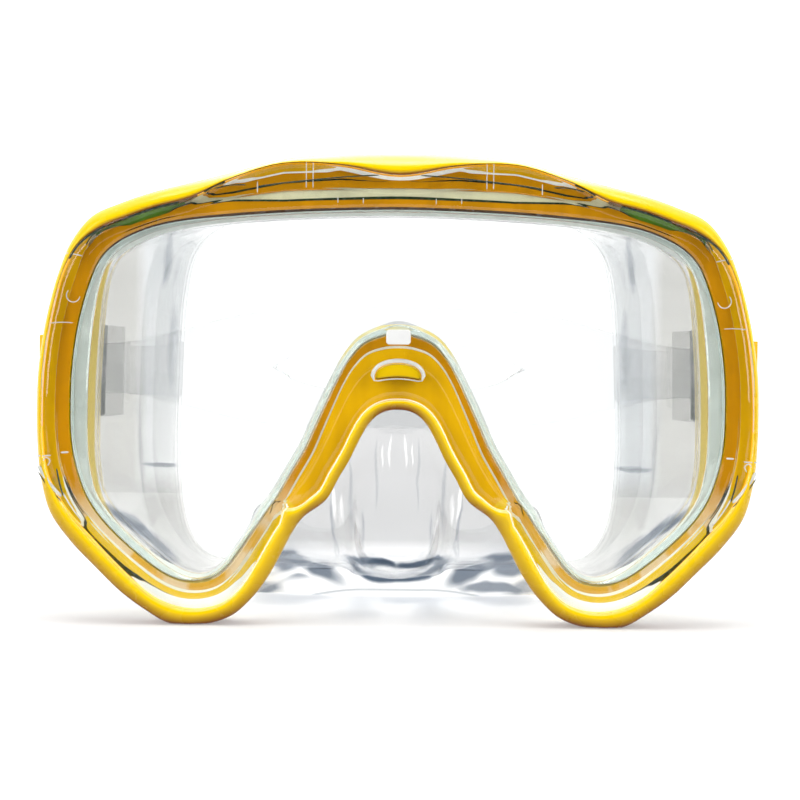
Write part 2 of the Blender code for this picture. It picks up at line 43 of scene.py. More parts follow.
PIVOT = (24.0, 59.6)  # swivel pin axis: depth and height
ROLL = (85.2, 46.0)   # roller axis: half-width and depth
LEVER = (85.5, 37.6)  # release lever axis: half-width and depth
STRAP_Z = 59.6
FINE = 6              # samples between two neighbouring stations

# Edge of the lens opening, right half, from the middle of the brow to the top
# of the nose notch: x, z, bezel width outward, frame width outward, and how
# far inward the clear lip reaches.
RIM = [
    (0.0, 99.6, 6.9, 12.4, 1.4), (13.8, 99.3, 9.5, 12.5, 1.6),
    (27.1, 98.7, 10.3, 11.9, 1.7), (39.0, 97.8, 7.6, 9.5, 2.1),
    (48.8, 96.7, 4.3, 8.0, 2.4), (56.7, 95.2, 3.9, 7.4, 2.6),
    (62.9, 93.0, 4.0, 7.4, 2.9), (67.9, 90.1, 5.2, 8.1, 3.2),
    (71.4, 86.3, 6.0, 7.5, 3.7), (73.8, 80.8, 6.0, 7.2, 4.2),
    (75.7, 74.3, 5.9, 7.1, 5.2), (77.1, 67.2, 5.9, 7.1, 6.0),
    (78.0, 58.9, 6.0, 7.3, 6.4), (78.2, 50.5, 6.1, 7.4, 6.4),
    (77.9, 43.4, 6.2, 7.6, 6.1), (76.7, 36.9, 6.4, 8.3, 5.2),
    (74.3, 30.1, 5.2, 9.0, 4.2), (70.7, 24.6, 4.3, 8.6, 3.9),
    (65.7, 19.4, 4.4, 8.5, 3.6), (60.2, 14.7, 4.9, 9.0, 3.5),
    (55.5, 11.4, 5.5, 9.2, 3.1), (51.2, 9.6, 5.6, 10.0, 2.6),
    (47.1, 9.2, 5.6, 9.6, 2.1), (43.3, 10.2, 5.5, 9.3, 2.0),
    (40.0, 12.8, 5.0, 8.7, 2.0), (36.9, 16.8, 4.4, 8.4, 2.0),
    (33.8, 21.4, 3.9, 7.8, 2.2), (31.0, 25.9, 3.9, 7.4, 2.6),
    (28.1, 30.0, 5.2, 7.5, 2.5), (24.8, 35.8, 7.4, 10.0, 2.4),
    (21.5, 41.5, 7.4, 10.0, 2.4), (18.8, 47.5, 7.9, 10.5, 2.4),
    (16.2, 53.2, 8.2, 10.8, 2.4), (13.8, 58.2, 9.0, 11.6, 2.4),
    (11.2, 62.8, 10.6, 13.2, 2.5), (7.9, 66.4, 12.9, 15.5, 2.7),
    (3.8, 68.2, 14.6, 17.2, 3.0), (0.0, 68.9, 15.1, 17.7, 3.4),
]
# The last ten stations end on the bead that arches over the nose: x, z.
NOSE = [
    (22.1, 25.6), (16.9, 29.6), (13.8, 35.0), (11.4, 39.1), (9.8, 42.4),
    (8.3, 45.4), (6.9, 47.7), (5.0, 49.7), (2.6, 50.9), (0.0, 51.2),
]
# Depth of the back of the frame at each station.
BACK = ([13.0] * 5 + [13.4, 13.8, 14.2, 14.6, 15.0] + [15.4] * 5
        + [15.0, 14.4, 13.8, 13.2, 12.8] + [12.4] * 4
        + [12.2, 12.0, 11.6, 9.8] + [8.8] * 10)
# Rim of the face opening: x, z, depth, and width of the outer sealing flap.
FACE = [
    (0.0, 103.2, 54.0, 7.5), (14.2, 102.8, 54.6, 7.6),
    (28.4, 102.0, 56.0, 7.9), (41.0, 100.0, 58.0, 8.4),
    (49.0, 96.6, 60.0, 9.0), (52.8, 92.6, 61.5, 9.6),
    (54.8, 88.8, 62.6, 10.2), (55.9, 85.0, 63.6, 10.6),
    (56.6, 81.2, 64.4, 11.0), (57.2, 77.0, 65.0, 11.0),
    (57.6, 72.4, 65.6, 11.0), (58.0, 67.2, 66.2, 11.0),
    (58.3, 60.0, 66.8, 11.0), (58.6, 52.0, 67.2, 11.0),
    (58.8, 43.6, 67.6, 11.0), (58.8, 35.6, 67.8, 10.8),
    (58.5, 28.8, 67.9, 10.4), (57.8, 22.8, 67.8, 9.8),
    (56.4, 17.4, 67.5, 9.0), (54.0, 12.9, 67.0, 8.4),
    (51.0, 10.2, 66.4, 8.0), (47.6, 9.0, 65.8, 7.6),
    (44.2, 8.6, 65.2, 7.6), (40.8, 8.4, 64.6, 8.0),
    (37.4, 8.3, 64.0, 7.9), (34.0, 8.2, 63.4, 7.8),
    (30.7, 8.1, 62.8, 7.7), (27.6, 8.0, 62.2, 7.80),
    (24.6, 8.0, 61.7, 7.80), (21.7, 8.0, 61.2, 7.80),
    (18.8, 8.0, 60.8, 7.80), (15.9, 8.0, 60.4, 7.80),
    (13.1, 8.0, 60.0, 7.80), (10.4, 8.0, 59.7, 7.80),
    (7.8, 8.0, 59.4, 7.80), (5.2, 8.0, 59.2, 7.80),
    (2.6, 8.0, 59.1, 7.80), (0.0, 8.0, 59.0, 7.80),
]
# Nose pocket: half-width and extra depth of its wall at the last ten stations.
POCKET = [
    (17.8, 27.0), (15.4, 19.0), (14.0, 13.0), (12.9, 9.0), (11.4, 6.0),
    (9.5, 3.7), (7.3, 2.0), (5.0, 0.9), (2.5, 0.2), (0.0, 0.0),
]


# Bands moulded in the seat under the clear bezel, outward from the lens opening
# in mm: amber, dark line, light groove, amber, dark line, amber, white line,
# golden.  The dark lines are painted dark reflection lines and the white line is
# a painted highlight with a faint glow, not moulded colour.  What is left, out to
# the edge of the bezel, is dark on the brow and light elsewhere.  Rows are
# (station, the eight ends).
BANDS = [
    (0, 1.5, 2.2, 4.1, 5.5, 5.5, 5.5, 6.5, 6.5), (1, 1.5, 2.1, 4.2, 6.2, 6.6, 8.1, 8.5, 9.2),
    (2, 1.6, 2.1, 4.2, 5.8, 6.2, 8.2, 8.6, 10.1), (3, 2.4, 2.9, 3.5, 4.3, 4.8, 6.2, 6.6, 7.4),
    (4, 2.6, 2.8, 4.1, 4.1, 4.1, 4.1, 4.1, 4.1), (5, 1.3, 1.3, 2.9, 2.9, 2.9, 2.9, 2.9, 2.9),
    (6, 1.6, 1.6, 2.9, 2.9, 2.9, 2.9, 2.9, 2.9), (7, 3.1, 3.1, 3.8, 3.8, 3.8, 3.8, 3.8, 3.8),
    (8, 3.6, 3.6, 3.6, 3.6, 3.6, 3.6, 3.6, 99.0), (9, 2.9, 2.9, 2.9, 2.9, 2.9, 2.9, 2.9, 99.0),
    (15.2, 2.9, 2.9, 2.9, 2.9, 2.9, 2.9, 2.9, 99.0), (15.4, 2.6, 2.6, 2.6, 2.6, 2.9, 2.9, 3.6, 99.0),
    (16.6, 1.6, 1.6, 1.9, 2.2, 2.6, 2.6, 3.3, 99.0), (17, 1.3, 1.3, 2.1, 3.2, 3.7, 3.7, 3.7, 3.7),
    (18, 1.2, 1.2, 2.0, 3.2, 3.7, 3.7, 3.7, 3.7), (19, 1.2, 1.2, 1.9, 3.4, 3.9, 3.9, 3.9, 3.9),
    (20, 1.2, 1.2, 2.0, 3.3, 3.5, 3.5, 3.5, 3.5), (21, 1.3, 1.3, 2.1, 3.5, 3.5, 3.5, 3.5, 3.5),
    (24, 1.5, 1.5, 2.1, 3.2, 3.2, 3.2, 3.2, 3.2), (27, 1.6, 1.6, 2.0, 2.9, 2.9, 2.9, 2.9, 2.9),
    (28.1, 1.5, 1.5, 1.9, 2.0, 2.0, 2.0, 2.0, 2.0), (28.3, 1.4, 1.4, 1.9, 99.0, 99.0, 99.0, 99.0, 99.0),
    (33, 1.35, 1.35, 1.85, 99.0, 99.0, 99.0, 99.0, 99.0), (35, 1.9, 1.9, 2.45, 99.0, 99.0, 99.0, 99.0, 99.0),
    (37, 2.5, 2.5, 3.1, 99.0, 99.0, 99.0, 99.0, 99.0),
]
BAND_SLOT = (1, 3, 2, 1, 3, 1, 7, 5)
BAND_DEPTH = (2.7, 3.0, 3.3, 2.7, 3.0, 2.7, 2.9, 2.7)


# Width of the clear bezel where the nose plate ends in a rounded tip.
PLATE_END = [(27.0, 3.9), (27.35, 3.35), (27.67, 2.75), (27.84, 2.95), (28.0, 4.1), (28.17, 5.0),
             (28.34, 5.65), (28.5, 6.1), (29.0, 7.35)]


# ------------------------------------------------------------------- geometry
def lerp(a, b, f):
    return a + (b - a) * f


def mirrored(rows, flips):
    out = [tuple(r) for r in rows]
    for r in reversed(rows[1:-1]):
        out.append(tuple(-v if k in flips else v for k, v in enumerate(r)))
    return out


def outward(loop):
    n = len(loop)
    res = []
    for i in range(n):
        a, b = loop[i - 1], loop[(i + 1) % n]
        dx, dz = b[0] - a[0], b[1] - a[1]
        d = math.hypot(dx, dz)
        res.append((-dz / d, dx / d))
    return res


def catmull(p0, p1, p2, p3, t):
    return 0.5 * ((2 * p1) + (p2 - p0) * t + (2 * p0 - 5 * p1 + 4 * p2 - p3) * t * t
                  + (3 * p1 - p0 - 3 * p2 + p3) * t ** 3)


def fine_loop(rows, per):
    """Closed loop of equal-length tuples, resampled smoothly."""
    n = len(rows)
    out = []
    for i in range(n):
        a, b, c, d = rows[i - 1], rows[i], rows[(i + 1) % n], rows[(i + 2) % n]
        for k in range(per):
            t = k / per
            out.append(tuple(catmull(w, x, y, z, t) for w, x, y, z in zip(a, b, c, d)))
    return out


def bands_at(k):
    for (a, *va), (b, *vb) in zip(BANDS, BANDS[1:]):
        if a <= k <= b:
            f = (k - a) / (b - a)
            return [lerp(u, v, f) for u, v in zip(va, vb)]
    return list(BANDS[-1][1:])


def edge_depth(k):
    """Depth at which the rim's outermost line lies: far back on the brow."""
    pts = [(0, 4.6), (3, 4.2), (6, 3.2), (9, 2.4), (15, 2.4), (18, 1.7), (27, 1.6), (37, 1.5)]
    for (a, u), (b, v) in zip(pts, pts[1:]):
        if a <= k <= b:
            return lerp(u, v, (k - a) / (b - a))
    return 2.0


def coarse_rows():
    loop = mirrored(RIM, {0})
    nrm = outward(loop)
    ends = []
    for i, (x, z, b, r, s) in enumerate(RIM):
        if i < 28:
            r += 0.22 * max(0.0, 1.0 - abs(i - 11.5) / 4.5)
            ends.append((x + nrm[i][0] * r, z + nrm[i][1] * r))
        else:
            ends.append(NOSE[i - 28])
    rows = []
    for i, (x, z, b, r, s) in enumerate(RIM):
        b -= {4: 0.2, 5: 0.5, 6: 0.6, 7: 0.9, 8: 0.5}.get(i, 0.0)
        ox, oz = ends[i]
        rr = math.hypot(ox - x, oz - z)
        if i >= 28:
            px, pz = ends[i - 1]
            qx, qz = ends[i + 1] if i < 37 else (-ends[36][0], ends[36][1])
            tx, tz = qx - px, qz - pz
            across = abs((ox - x) * tz - (oz - z) * tx) / (rr * math.hypot(tx, tz))
            b = rr - 2.55 / max(across, 0.5)
        rows.append((x, z, ox, oz, min(b, rr - 1.0), max(s, 2.2), BACK[i], float(i), edge_depth(i)))
    return mirrored(rows, {0, 2})


def ring_from(rows):
    nrm = outward([(r[0], r[1]) for r in rows])
    res = []
    for i, r in enumerate(rows):
        x, z, ox, oz, b, s, back, k, ey = r[:9]
        w = math.hypot(ox - x, oz - z)
        kk = min(max(k, 0.0), 37.0)
        for (ka, ba), (kb, bb) in zip(PLATE_END, PLATE_END[1:]):
            if ka <= kk <= kb:
                b = lerp(ba, bb, (kk - ka) / (kb - ka))
        res.append(dict(c=(x, z), o=(ox, oz), n=nrm[i], b=b, r=w, s=s, back=back, k=kk, ey=ey,
                        e=bands_at(kk)))
    return res


COARSE = ring_from(coarse_rows())
RING = ring_from(fine_loop(coarse_rows(), FINE))


def at(st, t, y):
    (x, z), (ox, oz), r = st["c"], st["o"], st["r"]
    if t >= 0:
        return (x + (ox - x) * t / r, y, z + (oz - z) * t / r)
    return (x + st["n"][0] * t, y, z + st["n"][1] * t)


def point(p):
    return Vector((p[0] * MM, (p[1] - Y_MID) * MM, p[2] * MM))


def new_mesh(name, verts, faces, mats=None, smooth=35):
    mesh = bpy.data.meshes.new(name)
    mesh.from_pydata([point(p) for p in verts], [], faces)
    if mats:
        for poly, m in zip(mesh.polygons, mats):
            poly.material_index = m
    bm = bmesh.new()
    bm.from_mesh(mesh)
    bmesh.ops.remove_doubles(bm, verts=bm.verts, dist=2e-7)
    bmesh.ops.recalc_face_normals(bm, faces=bm.faces)
    bm.to_mesh(mesh)
    bm.free()
    ob = bpy.data.objects.new(name, mesh)
    bpy.context.scene.collection.objects.link(ob)
    if smooth:
        mesh.shade_smooth()
        mesh.set_sharp_from_angle(angle=math.radians(smooth))
    return ob


def ring_mesh(name, sections, mat_of=None, smooth=35):
    m, n = len(sections), len(sections[0])
    verts = [p for sec in sections for p in sec]
    faces, mats = [], []
    for i in range(m):
        j = (i + 1) % m
        for k in range(n):
            l = (k + 1) % n
            faces.append((i * n + k, i * n + l, j * n + l, j * n + k))
            mats.append(mat_of(i, k) if mat_of else 0)
    return new_mesh(name, verts, faces, mats, smooth)


# ------------------------------------------------------------------ materials
class Nodes:
    def __init__(self, name):
        self.mat = bpy.data.materials.new(name)
        self.mat.use_nodes = True
        self.t = self.mat.node_tree
        self.bsdf = self.t.nodes["Principled BSDF"]
        self.out = self.t.nodes["Material Output"]
        self.coord = None

    def node(self, kind, **inputs):
        n = self.t.nodes.new(kind)
        for key, v in inputs.items():
            n.inputs[key.replace("_", " ")].default_value = v
        return n

    def link(self, a, b):
        self.t.links.new(a, b)

    def place(self):
        if self.coord is None:
            self.coord = self.t.nodes.new("ShaderNodeTexCoord")
        return self.coord.outputs["Object"]

    def noise(self, scale, detail=3.0, rough=0.5, stretch=None):
        n = self.node("ShaderNodeTexNoise", Scale=scale, Detail=detail, Roughness=rough)
        src = self.place()
        if stretch:
            m = self.t.nodes.new("ShaderNodeMapping")
            m.inputs["Scale"].default_value = stretch
            self.link(src, m.inputs["Vector"])
            src = m.outputs["Vector"]
        self.link(src, n.inputs["Vector"])
        return n.outputs["Fac"]

    def remap(self, src, a, b, lo, hi):
        n = self.t.nodes.new("ShaderNodeMapRange")
        n.inputs["From Min"].default_value = a
        n.inputs["From Max"].default_value = b
        n.inputs["To Min"].default_value = lo
        n.inputs["To Max"].default_value = hi
        self.link(src, n.inputs["Value"])
        return n.outputs["Result"]

    def mix(self, fac, a, b):
        n = self.t.nodes.new("ShaderNodeMix")
        n.data_type = "RGBA"
        for src, key in ((fac, 0), (a, 6), (b, 7)):
            if isinstance(src, (tuple, list)):
                n.inputs[key].default_value = (*src[:3], 1.0)
            elif isinstance(src, float):
                n.inputs[key].default_value = src
            else:
                self.link(src, n.inputs[key])
        return n.outputs[2]

    def bump(self, src, strength, dist):
        n = self.node("ShaderNodeBump", Strength=strength, Distance=dist)
        self.link(src, n.inputs["Height"])
        self.link(n.outputs["Normal"], self.bsdf.inputs["Normal"])

    def set(self, **v):
        for key, val in v.items():
            self.bsdf.inputs[key.replace("_", " ")].default_value = val

    def painted_light_normal_z(self):
        g = self.t.nodes.new("ShaderNodeNewGeometry")
        s = self.t.nodes.new("ShaderNodeSeparateXYZ")
        self.link(g.outputs["Normal"], s.inputs[0])
        return s.outputs["Z"]

    def lamps_through(self, tint=(1, 1, 1), soft=0.0):
        """Lets lamps light what is behind a clear piece."""
        path = self.t.nodes.new("ShaderNodeLightPath")
        clear = self.t.nodes.new("ShaderNodeBsdfTransparent")
        clear.inputs[0].default_value = (*tint, 1)
        mix = self.t.nodes.new("ShaderNodeMixShader")
        fac = path.outputs["Is Shadow Ray"]
        if soft:
            most = self.t.nodes.new("ShaderNodeMath")
            most.operation = "MAXIMUM"
            most.inputs[1].default_value = soft
            self.link(fac, most.inputs[0])
            fac = most.outputs[0]
        self.link(fac, mix.inputs[0])
        self.link(self.bsdf.outputs[0], mix.inputs[1])
        self.link(clear.outputs[0], mix.inputs[2])
        self.link(mix.outputs[0], self.out.inputs["Surface"])
        return clear.inputs[0]


def yellow(name, top, low, rough, gloss=0.5, coat=0.0, streak=0.0, painted_top_highlight=0.0, milky=0.0):
    """Moulded plastic, with painted shade that makes it warmer and darker on its underside and, where
    painted_top_highlight is set, a painted highlight along its front top edge.
    """
    m = Nodes(name)
    patch = m.remap(m.noise(60.0, 3.0), 0.3, 0.7, 0.0, 1.0)
    face = m.mix(patch, top, tuple(c * 0.93 for c in top))
    if streak:
        lines = m.remap(m.noise(240.0, 2.0, stretch=(1.0, 1.0, 0.12)), 0.42, 0.62, 0.0, streak)
        face = m.mix(lines, face, tuple(min(1.0, c * 1.25) for c in top))
    if milky:
        s = m.t.nodes.new("ShaderNodeSeparateXYZ")
        m.link(m.place(), s.inputs[0])
        low_part = m.remap(s.outputs["Z"], 0.034, 0.022, 0.0, 0.75)
        face = m.mix(low_part, face, (0.80, 0.46, 0.02))
        cloud = m.remap(m.noise(150.0, 4.0, stretch=(1.0, 1.0, 0.7)), 0.46, 0.56, 0.0, milky)
        cloud = math_node(m, "MULTIPLY", cloud, m.remap(s.outputs["Z"], 0.034, 0.024, 0.0, 1.0))
        face = m.mix(cloud, face, (0.86, 0.72, 0.50))
    up = m.painted_light_normal_z()
    # painted highlight: pale cream on upward-facing faces along the front top edge, weaker towards the sides
    if painted_top_highlight:
        s = m.t.nodes.new("ShaderNodeSeparateXYZ")
        m.link(m.place(), s.inputs[0])
        front = m.remap(s.outputs["Y"], -0.0742, -0.0722, 1.0, 0.0)
        front = math_node(m, "MULTIPLY", front, m.remap(up, 0.50, 0.92, 0.0, painted_top_highlight))
        middle = m.remap(math_node(m, "ABSOLUTE", s.outputs["X"]), 0.034, 0.052, 1.0, 0.3)
        front = math_node(m, "MULTIPLY", front, middle)
        face = m.mix(front, face, (1.0, 0.93, 0.52))
    # painted shade: faces turned downward take the darker, warmer low colour
    shade = m.remap(up, -0.80, 0.15, 1.0, 0.0)
    m.link(m.mix(shade, face, low), m.bsdf.inputs["Base Color"])
    m.link(m.remap(m.noise(220.0, 2.0), 0.3, 0.7, rough * 0.8, rough * 1.3), m.bsdf.inputs["Roughness"])
    m.bump(m.noise(900.0, 2.0), 0.05, 0.0002)
    m.bsdf.inputs["Specular IOR Level"].default_value = gloss
    m.set(IOR=1.49, Coat_Weight=coat, Coat_Roughness=0.04)
    return m.mat


def clear(name, colour, rough, ior, grain=None, tint=(0.97, 0.98, 0.97), bump=0.0):
    m = Nodes(name)
    m.set(Base_Color=(*colour, 1), Transmission_Weight=1.0, IOR=ior, Roughness=rough)
    if grain:
        lo, hi, scale, stretch = grain
        m.link(m.remap(m.noise(scale, 3.0, stretch=stretch), 0.3, 0.7, lo, hi), m.bsdf.inputs["Roughness"])
    if bump:
        m.bump(m.noise(90.0, 2.0), bump, 0.0006)
    m.lamps_through(tint)
    return m.mat


def plain(name, colour, rough, metal=0.0, scale=300.0, vary=0.12, coat=0.0, gloss=0.5):
    m = Nodes(name)
    n = m.remap(m.noise(scale, 4.0), 0.3, 0.7, 0.0, 1.0)
    m.link(m.mix(n, colour, tuple(c * (1 - vary) for c in colour)), m.bsdf.inputs["Base Color"])
    m.link(m.remap(m.noise(scale * 2.3, 3.0), 0.3, 0.7, rough * 0.75, rough * 1.3), m.bsdf.inputs["Roughness"])
    m.set(Metallic=metal, Coat_Weight=coat, Coat_Roughness=0.08, Specular_IOR_Level=gloss)
    m.bump(m.noise(scale * 4, 2.0), 0.08, 0.0001)
    return m.mat


def math_node(m, op, a, b=None):
    n = m.t.nodes.new("ShaderNodeMath")
    n.operation = op
    for key, v in ((0, a), (1, b)):
        if v is None:
            continue
        if isinstance(v, float):
            n.inputs[key].default_value = v
        else:
            m.link(v, n.inputs[key])
    return n.outputs[0]


def seat(name):
    """Pale seat round the lens, yellow-tinted over the nose."""
    m = Nodes(name)
    n = m.remap(m.noise(110.0, 4.0), 0.3, 0.7, 0.0, 1.0)
    face = m.mix(n, (0.92, 0.95, 0.91), (0.76, 0.80, 0.76))
    s = m.t.nodes.new("ShaderNodeSeparateXYZ")
    m.link(m.place(), s.inputs[0])
    over = math_node(m, "MULTIPLY", math_node(m, "MULTIPLY", m.remap(s.outputs["Z"], 0.0610, 0.0660, 0.0, 0.8),
                                                m.remap(s.outputs["Z"], 0.0780, 0.0800, 1.0, 0.0)),
                     m.remap(math_node(m, "ABSOLUTE", s.outputs["X"]), 0.014, 0.020, 1.0, 0.0))
    over = math_node(m, "MULTIPLY", over, m.remap(m.noise(200.0, 3.0), 0.38, 0.55, 0.35, 1.0))
    m.link(m.mix(over, face, (0.95, 0.76, 0.16)), m.bsdf.inputs["Base Color"])
    m.link(m.remap(m.noise(260.0, 3.0), 0.3, 0.7, 0.22, 0.38), m.bsdf.inputs["Roughness"])
    m.bump(m.noise(600.0, 2.0), 0.08, 0.0001)
    return m.mat


def spot(m, flat, centre, turn, long, wide, soft=0.25):
    """Soft-edged oval in the flattened front view."""
    n = m.t.nodes.new("ShaderNodeMapping")
    n.vector_type = "TEXTURE"
    n.inputs["Location"].default_value = (centre[0], centre[1], 0)
    n.inputs["Rotation"].default_value = (0, 0, turn)
    n.inputs["Scale"].default_value = (long, wide, 1)
    m.link(flat, n.inputs["Vector"])
    size = m.t.nodes.new("ShaderNodeVectorMath")
    size.operation = "LENGTH"
    m.link(n.outputs["Vector"], size.inputs[0])
    return size.outputs["Value"], m.remap(size.outputs["Value"], 1 - soft, 1 + soft, 1.0, 0.0)


def silicone(name):
    """Clear silicone: pale and creamy near the frame; blue-grey streaks in the folds are painted shade and painted
    dark reflections, and pale ovals on the nose pocket are painted highlights.
    """
    m = Nodes(name)
    s = m.t.nodes.new("ShaderNodeSeparateXYZ")
    m.link(m.place(), s.inputs[0])
    # the painted shade, painted dark reflections and painted highlights below are laid out in millimetres on the
    # front plane, by perspective projection from a fixed point in front of the mask
    far = math_node(m, "ADD", s.outputs["Y"], 0.57995)
    u = math_node(m, "MULTIPLY", math_node(m, "DIVIDE", math_node(m, "ABSOLUTE", s.outputs["X"]), far), 500.0)
    v = math_node(m, "DIVIDE", math_node(m, "SUBTRACT", s.outputs["Z"], 0.066), far)
    v = math_node(m, "ADD", math_node(m, "MULTIPLY", v, 500.0), 66.0)
    plane = m.t.nodes.new("ShaderNodeCombineXYZ")
    m.link(u, plane.inputs[0])
    m.link(v, plane.inputs[1])
    waver = m.node("ShaderNodeTexNoise", Scale=95.0, Detail=3.0)
    m.link(m.place(), waver.inputs["Vector"])
    shift = m.t.nodes.new("ShaderNodeVectorMath")
    shift.operation = "MULTIPLY_ADD"
    shift.inputs[1].default_value = (2.6, 2.6, 0.0)
    m.link(waver.outputs["Color"], shift.inputs[0])
    m.link(plane.outputs[0], shift.inputs[2])
    back = m.t.nodes.new("ShaderNodeVectorMath")
    back.operation = "SUBTRACT"
    back.inputs[1].default_value = (1.3, 1.3, 0.0)
    m.link(shift.outputs[0], back.inputs[0])
    flat = back.outputs[0]

    patch = m.remap(m.noise(26.0, 2.0, stretch=(1.0, 1.0, 0.35)), 0.38, 0.62, 0.0, 1.0)
    base = m.mix(patch, (0.86, 0.865, 0.865), (0.78, 0.795, 0.805))
    base = m.mix(m.remap(u, 34.0, 44.0, 1.0, 0.0), base, (0.59, 0.595, 0.60))
    # painted light: lighter low down beside the nose, against the shadow there
    base = m.mix(math_node(m, "MULTIPLY", m.remap(v, 20.5, 17.5, 0.0, 1.0), m.remap(u, 34.0, 44.0, 1.0, 0.0)),
                 base, (0.90, 0.905, 0.91))
    for centre, turn, long, wide in (              # painted highlights on the nose pocket
            ((1.9, 41.5), 1.56, 3.6, 0.30), ((3.5, 40.5), 1.56, 2.6, 0.20), ((14.7, 29.5), 1.45, 4.2, 0.45),
            ((9.3, 21.5), 1.50, 5.0, 0.45), ((12.9, 27.5), 1.50, 3.6, 0.35)):
        base = m.mix(math_node(m, "MULTIPLY", spot(m, flat, centre, turn, long, wide)[1], 0.7), base, (0.97, 0.97, 0.97))
    tan = math_node(m, "MULTIPLY", m.remap(u, 25.0, 33.0, 0.0, 0.8), m.remap(v, 17.0, 12.0, 0.0, 1.0))
    base = m.mix(tan, base, (0.72, 0.66, 0.55))
    edge = m.remap(u, 59.5, 62.5, 0.0, 1.0)
    base = m.mix(edge, base, (0.62, 0.615, 0.59))
    cheek = math_node(m, "MULTIPLY", m.remap(v, 36.0, 29.0, 0.0, 1.0), m.remap(u, 38.0, 46.0, 0.0, 1.0))
    base = m.mix(cheek, base, (0.64, 0.64, 0.625))
    dark = None
    # painted shade and painted dark reflections: blue-grey ovals in the folds of the cheek, the upper corner and the
    # nose pocket
    for centre, turn, long, wide, amount in (
            ((60.3, 21.9), 0.646, 9.8, 1.05, 1.0),     # fold of the lower cheek
            ((55.8, 17.6), 0.75, 5.0, 0.7, 0.7),
            ((52.0, 94.8), -0.283, 6.8, 0.42, 0.95),   # upper corner
            ((69.6, 85.8), -0.954, 4.6, 0.42, 0.60),
            ((54.6, 86.5), -1.45, 6.2, 0.75, 0.30),
            ((56.2, 37.7), 0.0, 4.2, 0.50, 0.35),
            ((53.6, 65.5), -1.55, 9.0, 0.90, 0.16),
            ((61.0, 42.0), 1.50, 12.0, 0.45, 0.12),
            ((5.6, 15.2), 0.16, 6.6, 0.75, 1.0),      # folds of the nose pocket
            ((11.0, 30.0), 1.50, 9.0, 0.40, 0.22),
            ((5.0, 36.0), 1.56, 8.0, 0.32, 0.16),
            ((14.6, 23.0), 1.45, 7.0, 0.36, 0.35),
            ((8.0, 22.0), 1.50, 5.0, 0.26, 0.25)):
        one = math_node(m, "MULTIPLY", spot(m, flat, centre, turn, long, wide)[1], amount)
        dark = one if dark is None else math_node(m, "MAXIMUM", dark, one)
    broad = m.t.nodes.new("ShaderNodeTexNoise")
    broad.inputs["Scale"].default_value = 70.0
    m.link(m.place(), broad.inputs["Vector"])
    swirl = m.t.nodes.new("ShaderNodeVectorMath")
    swirl.operation = "MULTIPLY_ADD"
    swirl.inputs[1].default_value = (9.0, 7.0, 0.0)
    m.link(broad.outputs["Color"], swirl.inputs[0])
    m.link(plane.outputs[0], swirl.inputs[2])
    # painted dark reflections: blue-grey patches on the floor beside the nose
    patchy = m.remap(m.noise(80.0, 1.0, stretch=(0.7, 0.7, 1.5)), 0.42, 0.53, 0.0, 0.85)
    for centre, turn, long, wide, amount in (     # floor beside the nose
            ((25.6, 17.6), 0.42, 9.0, 2.2, 1.0), ((33.0, 17.6), 0.30, 5.5, 2.0, 0.9),
            ((28.6, 12.6), -0.05, 8.0, 1.1, 0.85), ((36.0, 13.2), 0.30, 6.0, 1.5, 0.6)):
        one = math_node(m, "MULTIPLY", spot(m, swirl.outputs[0], centre, turn, long, wide)[1], amount)
        dark = math_node(m, "MAXIMUM", dark, math_node(m, "MULTIPLY", one, patchy))
    # painted shade: a dark arc under the nose pocket
    size, _ = spot(m, flat, (0.0, 20.5), 0.0, 12.8, 9.9)
    arc = m.remap(math_node(m, "ABSOLUTE", math_node(m, "SUBTRACT", size, 1.0)), 0.03, 0.095, 1.0, 0.0)
    arc = math_node(m, "MULTIPLY", arc, m.remap(v, 17.5, 14.5, 0.0, 1.0))
    dark = math_node(m, "MAXIMUM", dark, arc)
    # painted dark reflection line along the skirt's lower edge
    bend = m.remap(u, 8.0, 40.0, 0.0, 1.0)           # the skirt's lower edge
    turn = math_node(m, "SUBTRACT", 3.0, math_node(m, "MULTIPLY", bend, 2.0))
    bend = math_node(m, "MULTIPLY", math_node(m, "MULTIPLY", bend, bend), turn)
    low = math_node(m, "SUBTRACT", 8.6, math_node(m, "MULTIPLY", bend, 4.6))
    line = m.remap(math_node(m, "ABSOLUTE", math_node(m, "SUBTRACT", v, low)), 0.10, 0.32, 0.34, 0.0)
    dark = math_node(m, "MAXIMUM", dark, math_node(m, "MULTIPLY", line, m.remap(u, 36.0, 40.0, 1.0, 0.0)))
    m.link(m.mix(dark, base, (0.12, 0.155, 0.21)), m.bsdf.inputs["Base Color"])
    m.link(m.remap(m.noise(55.0, 3.0, stretch=(1.0, 1.0, 0.3)), 0.3, 0.7, 0.0, 0.07), m.bsdf.inputs["Roughness"])
    m.bump(m.noise(70.0, 2.0, stretch=(1.0, 0.5, 0.4)), 0.2, 0.0008)
    m.set(Transmission_Weight=0.95, IOR=1.10)
    film = m.lamps_through((0.90, 0.905, 0.91), 0.35)
    m.link(m.mix(dark, m.mix(0.55, base, (0.97, 0.97, 0.97)), (0.21, 0.26, 0.32)), film)
    return m.mat


